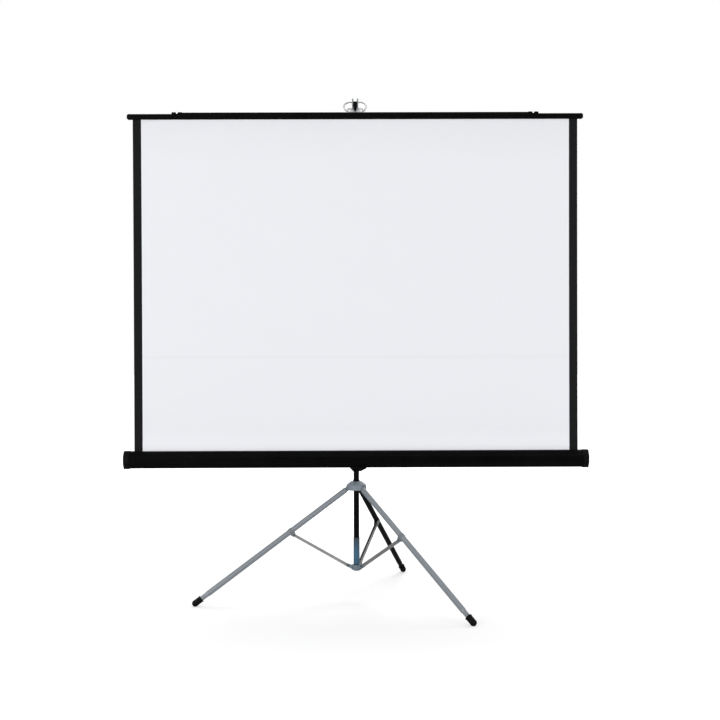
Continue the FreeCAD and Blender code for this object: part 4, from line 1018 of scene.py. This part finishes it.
@dataclass
class TripodStand:
    """Rubber feet and domed rivets of the stand.

    The foot's rim and ribs are shares of its radius and heights over where they start.
    """

    foot_radius: float = 0.013
    foot_sleeve: float = 0.030
    foot_floor: float = 0.002
    neck_radius: float = 0.00925
    rim: tuple[tuple[float, float], ...] = (
        (0.93, 0.0), (1.05, 0.0006), (1.066, 0.0018), (1.05, 0.0034), (0.97, 0.0044))
    rib: tuple[tuple[float, float], ...] = (
        (0.93, 0.0), (0.985, 0.0008), (0.985, 0.0026), (0.93, 0.0034))
    first_rib: float = 0.0062
    rib_pitch: float = 0.0046
    ribs: int = 4
    rivet_radius: float = 0.0045
    rivet_height: float = 0.002
    shank_radius: float = 0.0025
    bracket_width: float = 0.0162
    ear_width: float = 0.017
    ear_thickness: float = 0.0025

    def build(self) -> None:
        """Make every piece of the stand."""
        for leg in Leg:
            self.foot(leg)
            self.bracket_rivet(leg)
        self.collar_rivets()

    def foot(self, leg: Leg) -> None:
        """A ribbed rubber foot with a ball end, worn flat where it stands.

        Args:
            leg: The leg that it ends.
        """
        end = LAYOUT.leg_length
        start = end - self.foot_sleeve
        profile = [(0.0, end - self.foot_floor), (self.neck_radius, end - self.foot_floor),
                   (self.neck_radius, start)]
        rings = [(start, self.rim)]
        for index in range(self.ribs):
            rings.append((start + self.first_rib + index * self.rib_pitch, self.rib))
        for low, ring in rings:
            profile += [(self.foot_radius * share, low + rise) for share, rise in ring]
        profile += Shaping.dome(self.foot_radius, self.foot_radius, end, 12)
        bm = Shaping.turned(profile, 40)
        bmesh.ops.transform(bm, matrix=LAYOUT.along(leg), verts=bm.verts)
        Shaping.cut(bm, (0, 0, 0), (0, 0, -1), clear=True)
        bmesh.ops.edgeloop_fill(bm, edges=[edge for edge in bm.edges if edge.is_boundary])
        bmesh.ops.recalc_face_normals(bm, faces=bm.faces)
        piece = Shaping.finished(bm, f"{leg.word}_rubber_foot", (Palette.RUBBER,),
                                 f"{leg.word}_leg", "black_rubber", 50.0)
        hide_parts(f"{leg.word}_foot_tip")

    def rivet(self, width: float, both: bool) -> Skin:
        """A rivet with domed heads, its middle at the origin and its length along Z.

        Args:
            width: Length between the heads.
            both: Whether it has a shank between two heads, or one head only.

        Returns:
            The mesh in progress.
        """
        dome = Shaping.dome(self.rivet_radius, self.rivet_height, width / 2, 6)
        if both:
            low = [(radius, -height) for radius, height in reversed(dome)]
            shank = [(self.shank_radius, -width / 2), (self.shank_radius, width / 2)]
            profile = low + shank + dome
        else:
            profile = [(0.0, width / 2)] + dome
        return Shaping.turned(profile, 28)

    def bracket_rivet(self, leg: Leg) -> None:
        """The rivet that a brace turns on.

        Args:
            leg: The leg that carries it.
        """
        bm = self.rivet(self.bracket_width, True)
        across = Matrix.Translation((LAYOUT.brace_drop, 0.0, LAYOUT.brace_distance))
        turned = Matrix.Rotation(QUARTER_TURN, 4, "X")
        bmesh.ops.transform(bm, matrix=LAYOUT.along(leg) @ across @ turned, verts=bm.verts)
        piece = Shaping.finished(bm, f"{leg.word}_domed_rivet", (Palette.RIVET,),
                                 f"{leg.word}_leg", "bright_pins")
        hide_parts(f"{leg.word}_brace_pin")

    def collar_rivets(self) -> None:
        """A domed rivet in each of the collar's six ears."""
        parts = []
        pin = Matrix.Translation((LAYOUT.collar_pin_radius, 0.0, LAYOUT.collar_pin_height))
        for leg in Leg:
            for side in Side:
                bm = self.rivet(self.ear_width, False)
                shank = bmesh.ops.create_cone(
                    bm, cap_ends=True, segments=20, radius1=self.shank_radius,
                    radius2=self.shank_radius, depth=self.ear_thickness)
                middle = (self.ear_width - self.ear_thickness) / 2
                bmesh.ops.translate(bm, vec=(0, 0, middle), verts=shank["verts"])
                turned = Matrix.Rotation(side.value * QUARTER_TURN, 4, "X")
                bmesh.ops.transform(bm, matrix=LAYOUT.radial(leg) @ pin @ turned, verts=bm.verts)
                parts.append(bm)
        piece = Shaping.finished(Shaping.joined(parts), "collar_domed_rivets", (Palette.RIVET,),
                                 "mast", "bright_pins")
        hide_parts("collar_rivets")


@dataclass
class TopSlat:
    """Chrome studs that hold the clips on the slat's spine strip."""

    stud_x: float = 0.701
    stud_radius: float = 0.0045
    stud_height: float = 0.0035
    stud_rise: float = 0.0042
    flange: float = 0.0007
    clip_face: float = 0.0045

    def build(self) -> None:
        """Make the studs."""
        profile = [(0.0, 0.0), (self.stud_radius, 0.0)]
        profile += Shaping.dome(self.stud_radius, self.stud_height - self.flange, self.flange, 8)
        height = LAYOUT.slat_base + LAYOUT.slat_height + self.stud_rise
        place = Matrix.Translation((0.0, LAYOUT.cloth_y - self.clip_face, height))
        parts = []
        for side in Side:
            bm = Shaping.turned(profile, 32)
            turned = place @ Matrix.Rotation(QUARTER_TURN, 4, "X")
            bmesh.ops.transform(bm, matrix=turned, verts=bm.verts)
            bmesh.ops.translate(bm, vec=(side.value * self.stud_x, 0.0, 0.0), verts=bm.verts)
            parts.append(bm)
        piece = Shaping.finished(Shaping.joined(parts), "chrome_studs", (Palette.STUD,), "slat",
                                 "bright_pins")
        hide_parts("slat_studs")


@dataclass
class ReleaseTrigger:
    """The stiffening web on the thumb plate of the case's release trigger."""

    root: tuple[float, float] = (0.0250, 0.5205)
    tip: tuple[float, float] = (0.0390, 0.5272)
    crown: tuple[float, float] = (0.0255, 0.5292)
    thickness: float = 0.005
    rounding: float = 0.0004

    def build(self) -> None:
        """Make the web and let it move with the trigger."""
        bm = bmesh.new()
        near = LAYOUT.mast_y - self.thickness / 2
        corners = [bm.verts.new((x, near, z)) for x, z in (self.root, self.tip, self.crown)]
        grown = bmesh.ops.extrude_face_region(bm, geom=[bm.faces.new(corners)])
        bmesh.ops.translate(bm, vec=(0.0, self.thickness, 0.0), verts=Shaping.verts_of(grown))
        bmesh.ops.recalc_face_normals(bm, faces=bm.faces)
        Shaping.round_edges(bm, list(bm.edges), self.rounding)
        Shaping.finished(bm, "trigger_web", (Palette.PLASTIC,), "trigger", "black_plastic")


class Dressing:
    """Finishes of the CAD nodes. A node that no row names is black plastic."""

    ROWS: tuple[tuple[Finish, str], ...] = (
        (Palette.HUB, "leg_hub left_leg_fitting right_leg_fitting"),
        (Palette.LEG, "left_leg_tube right_leg_tube"),
        (Palette.REAR_LEG, "rear_leg_tube rear_leg_fitting"),
        (Palette.BRACKET, "left_brace_bracket right_brace_bracket rear_brace_bracket"),
        (Palette.BRACE, "left_brace right_brace rear_brace"),
        (Palette.COLLAR, "brace_collar"),
        (Palette.MAST, "mast_tube"),
        (Palette.SLEEVE, "lower_sleeve"),
        (Palette.CASTING, "carriage case_bracket trigger_pin"),
        (Palette.RIVET, "leg_pivot_pins"),
        (Palette.ZINC, "latch_pin case_rivets pivot_stud"),
        (Palette.ROD, "extension_rod"),
        (Palette.FORK, "hook_fork"),
        (Palette.NYLON, "rod_foot_guide roller_bearings roller_plugs"),
        (Palette.FIBRE, "friction_washer"),
        (Palette.CASE, "case_shell"),
        (Palette.ROLLER, "roller_tube"),
        (Palette.SPRING, "roller_spring"),
        (Palette.SLAT, "slat_bar slat_spine"),
        (Palette.PLATE, "bail_bracket"),
        (Palette.BAIL, "bail_wire"),
    )
    BY_NODE: dict[str, Finish] = {node: finish for finish, nodes in ROWS for node in nodes.split()}

    @classmethod
    def finish_of(cls, node: str) -> Finish:
        """Finish of a CAD node or of the piece that stands for it."""
        return cls.BY_NODE.get(node, Palette.PLASTIC)

    def build(self) -> None:
        """Give every CAD node its finish, the replaced ones too."""
        for name, node in frame["nodes"].items():
            if not node.material_slots:
                node.data.materials.append(None)
            for slot in node.material_slots:
                slot.material = self.finish_of(name).material()
        log.info("%d CAD nodes dressed", len(frame["nodes"]))


@dataclass
class SoftenedCastings:
    """Castings, pressings and mouldings whose hard edges are rounded as they are made."""

    casting: float = 0.0012
    pressing: float = 0.0005
    moulding: float = 0.0007
    sharp_angle: float = 40.0

    def build(self) -> None:
        """Make every rounded copy."""
        radii = {
            "leg_hub": self.casting, "brace_collar": self.pressing, "rod_guide": self.moulding,
            "rod_latch": self.moulding, "carriage": self.casting, "case_bracket": self.pressing,
            "case_trigger": self.moulding, "hook_body": self.moulding,
            "hook_tongue": self.moulding, "hook_fork": self.pressing,
            "bail_bracket": self.pressing, "slat_end_caps": self.moulding,
            "spine_clips": self.pressing,
        }
        for leg in Leg:
            for part in ("leg_fitting", "brace_bracket", "brace"):
                radii[f"{leg.word}_{part}"] = self.pressing
        for node, radius in radii.items():
            self.soften(node, radius)

    def soften(self, node: str, radius: float) -> None:
        """Copy a CAD node, round the copy's hard edges and let it stand for the node.

        Args:
            node: The CAD node.
            radius: Radius of the rounding.
        """
        bm = bmesh.new()
        bm.from_mesh(frame["nodes"][node].data)
        bmesh.ops.remove_doubles(bm, verts=bm.verts, dist=1e-6)
        bmesh.ops.dissolve_limit(bm, angle_limit=math.radians(1.0), verts=bm.verts, edges=bm.edges,
                                 delimit={"NORMAL"})
        record = frame["record"]
        slots = {row["node"]: row["material_slot"] for row in record["subparts"]}
        body = next(name for name, nodes in record["behaviour"]["bodies"].items() if node in nodes)
        piece = Shaping.finished(bm, f"soft_{node}", (Dressing.finish_of(node),), body, slots[node])
        rounding = piece.modifiers.new("Rounding", "BEVEL")
        rounding.width = radius
        rounding.segments = 2
        rounding.limit_method = "ANGLE"
        rounding.angle_limit = math.radians(self.sharp_angle)
        rounding.use_clamp_overlap = True
        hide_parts(node)


@dataclass
class Studio:
    """Camera at the photograph's angle, soft lamps, pale floor and white surroundings."""

    lens: float = 62.5
    camera_x: float = -0.0124
    camera_back: float = 4.9786
    camera_height: float = 1.0095
    yaw: float = 0.3295
    pitch: float = -0.6214
    roll: float = -0.19
    sky: float = 0.48
    floor_half: float = 40.0
    floor_colour: Colour = (0.70, 0.70, 0.70)
    glow_near: float = 0.46
    glow_start: float = 0.6
    glow_reach: float = 3.2
    screen_middle: tuple[float, float, float] = (0.0, 0.0, 1.0)

    def build(self) -> None:
        """Set up the camera, the lamps and the surroundings."""
        self.camera()
        self.floor()
        self.world()
        self.lamp("key_lamp", (-3.0, -5.8, 1.2), 3.2, 182.0)
        self.lamp("fill_lamp", (3.8, -5.0, 0.9), 3.0, 112.0)
        self.lamp("rim_lamp", (0.9, 3.0, 4.6), 3.4, 120.0)
        bpy.context.scene.view_settings.view_transform = "Standard"

    @staticmethod
    def placed(name: str, data: bpy.types.ID) -> bpy.types.Object:
        """Put a camera, lamp or mesh in the scene."""
        made = bpy.data.objects.new(name, data)
        bpy.context.scene.collection.objects.link(made)
        return made

    def camera(self) -> None:
        """Place the camera."""
        data = bpy.data.cameras.new("photo_camera")
        data.lens = self.lens
        data.sensor_width = 36.0
        data.clip_end = 200.0
        place = (self.camera_x, LAYOUT.mast_y - self.camera_back, self.camera_height)
        aim = (Matrix.Rotation(math.radians(-self.yaw), 4, "Z")
               @ Matrix.Rotation(math.radians(90.0 + self.pitch), 4, "X")
               @ Matrix.Rotation(math.radians(self.roll), 4, "Z"))
        camera = self.placed("photo_camera", data)
        camera.matrix_world = Matrix.Translation(place) @ aim
        bpy.context.scene.camera = camera

    def lamp(self, name: str, place: tuple[float, float, float], size: float, power: float) -> None:
        """Add a soft square lamp that looks at the middle of the screen.

        Args:
            name: The lamp's name.
            place: Where it stands.
            size: Its side.
            power: Its power in watts.
        """
        data = bpy.data.lights.new(name, "AREA")
        data.shape = "SQUARE"
        data.size = size
        data.energy = power
        lamp = self.placed(name, data)
        lamp.location = place
        aim = Vector(self.screen_middle) - Vector(place)
        lamp.rotation_euler = aim.to_track_quat("-Z", "Y").to_euler()
        lamp.visible_camera = False

    def floor(self) -> None:
        """A wide pale floor that keeps the stand's shadow and whitens further out."""
        bm = bmesh.new()
        bmesh.ops.create_grid(bm, x_segments=1, y_segments=1, size=self.floor_half)
        mesh = bpy.data.meshes.new("pale_floor")
        bm.to_mesh(mesh)
        bm.free()
        made = bpy.data.materials.new("pale_floor")
        made.use_nodes = True
        made.node_tree.nodes.clear()
        w = Wiring(made.node_tree)
        paint = w.set(w.add("BsdfDiffuse"), Color=self.floor_colour)
        reach = w.add("VectorMath", operation="LENGTH")
        w.feed(reach, w.place())
        far = w.spread(reach.outputs["Value"], self.glow_near, 1.0, self.glow_start,
                       self.glow_reach)
        seen = w.add("LightPath").outputs["Is Camera Ray"]
        glow = w.set(w.add("Emission"), Color=(1.0, 1.0, 1.0), Strength=w.product(seen, far))
        both = w.feed(w.add("AddShader"), paint.outputs[0], glow.outputs[0])
        w.set(w.add("OutputMaterial"), Surface=both)
        mesh.materials.append(made)
        self.placed("pale_floor", mesh)

    def world(self) -> None:
        """White to the camera, reflections and glass, and a softer light on the object."""
        world = bpy.data.worlds.new("white_room")
        world.use_nodes = True
        world.node_tree.nodes.clear()
        w = Wiring(world.node_tree)
        rays = w.add("LightPath").outputs
        seen = w.math("MAXIMUM", rays["Is Camera Ray"], rays["Is Glossy Ray"])
        seen = w.math("MAXIMUM", seen, rays["Is Transmission Ray"])
        back = w.set(w.add("Background"), Color=(1.0, 1.0, 1.0),
                     Strength=w.spread(seen, self.sky, 1.0))
        w.set(w.add("OutputWorld"), Surface=back.outputs[0])
        bpy.context.scene.world = world


def main() -> None:
    """Build the sub-assemblies in order."""
    logging.basicConfig(level=logging.INFO)
    Dressing().build()
    for assembly in (ScreenFabric(), RollerCase(), TopSlat(), TripodStand(), ReleaseTrigger(),
                     SoftenedCastings(), Studio()):
        assembly.build()
        log.info("%s done", type(assembly).__name__)


if __name__ == "__main__":
    main()
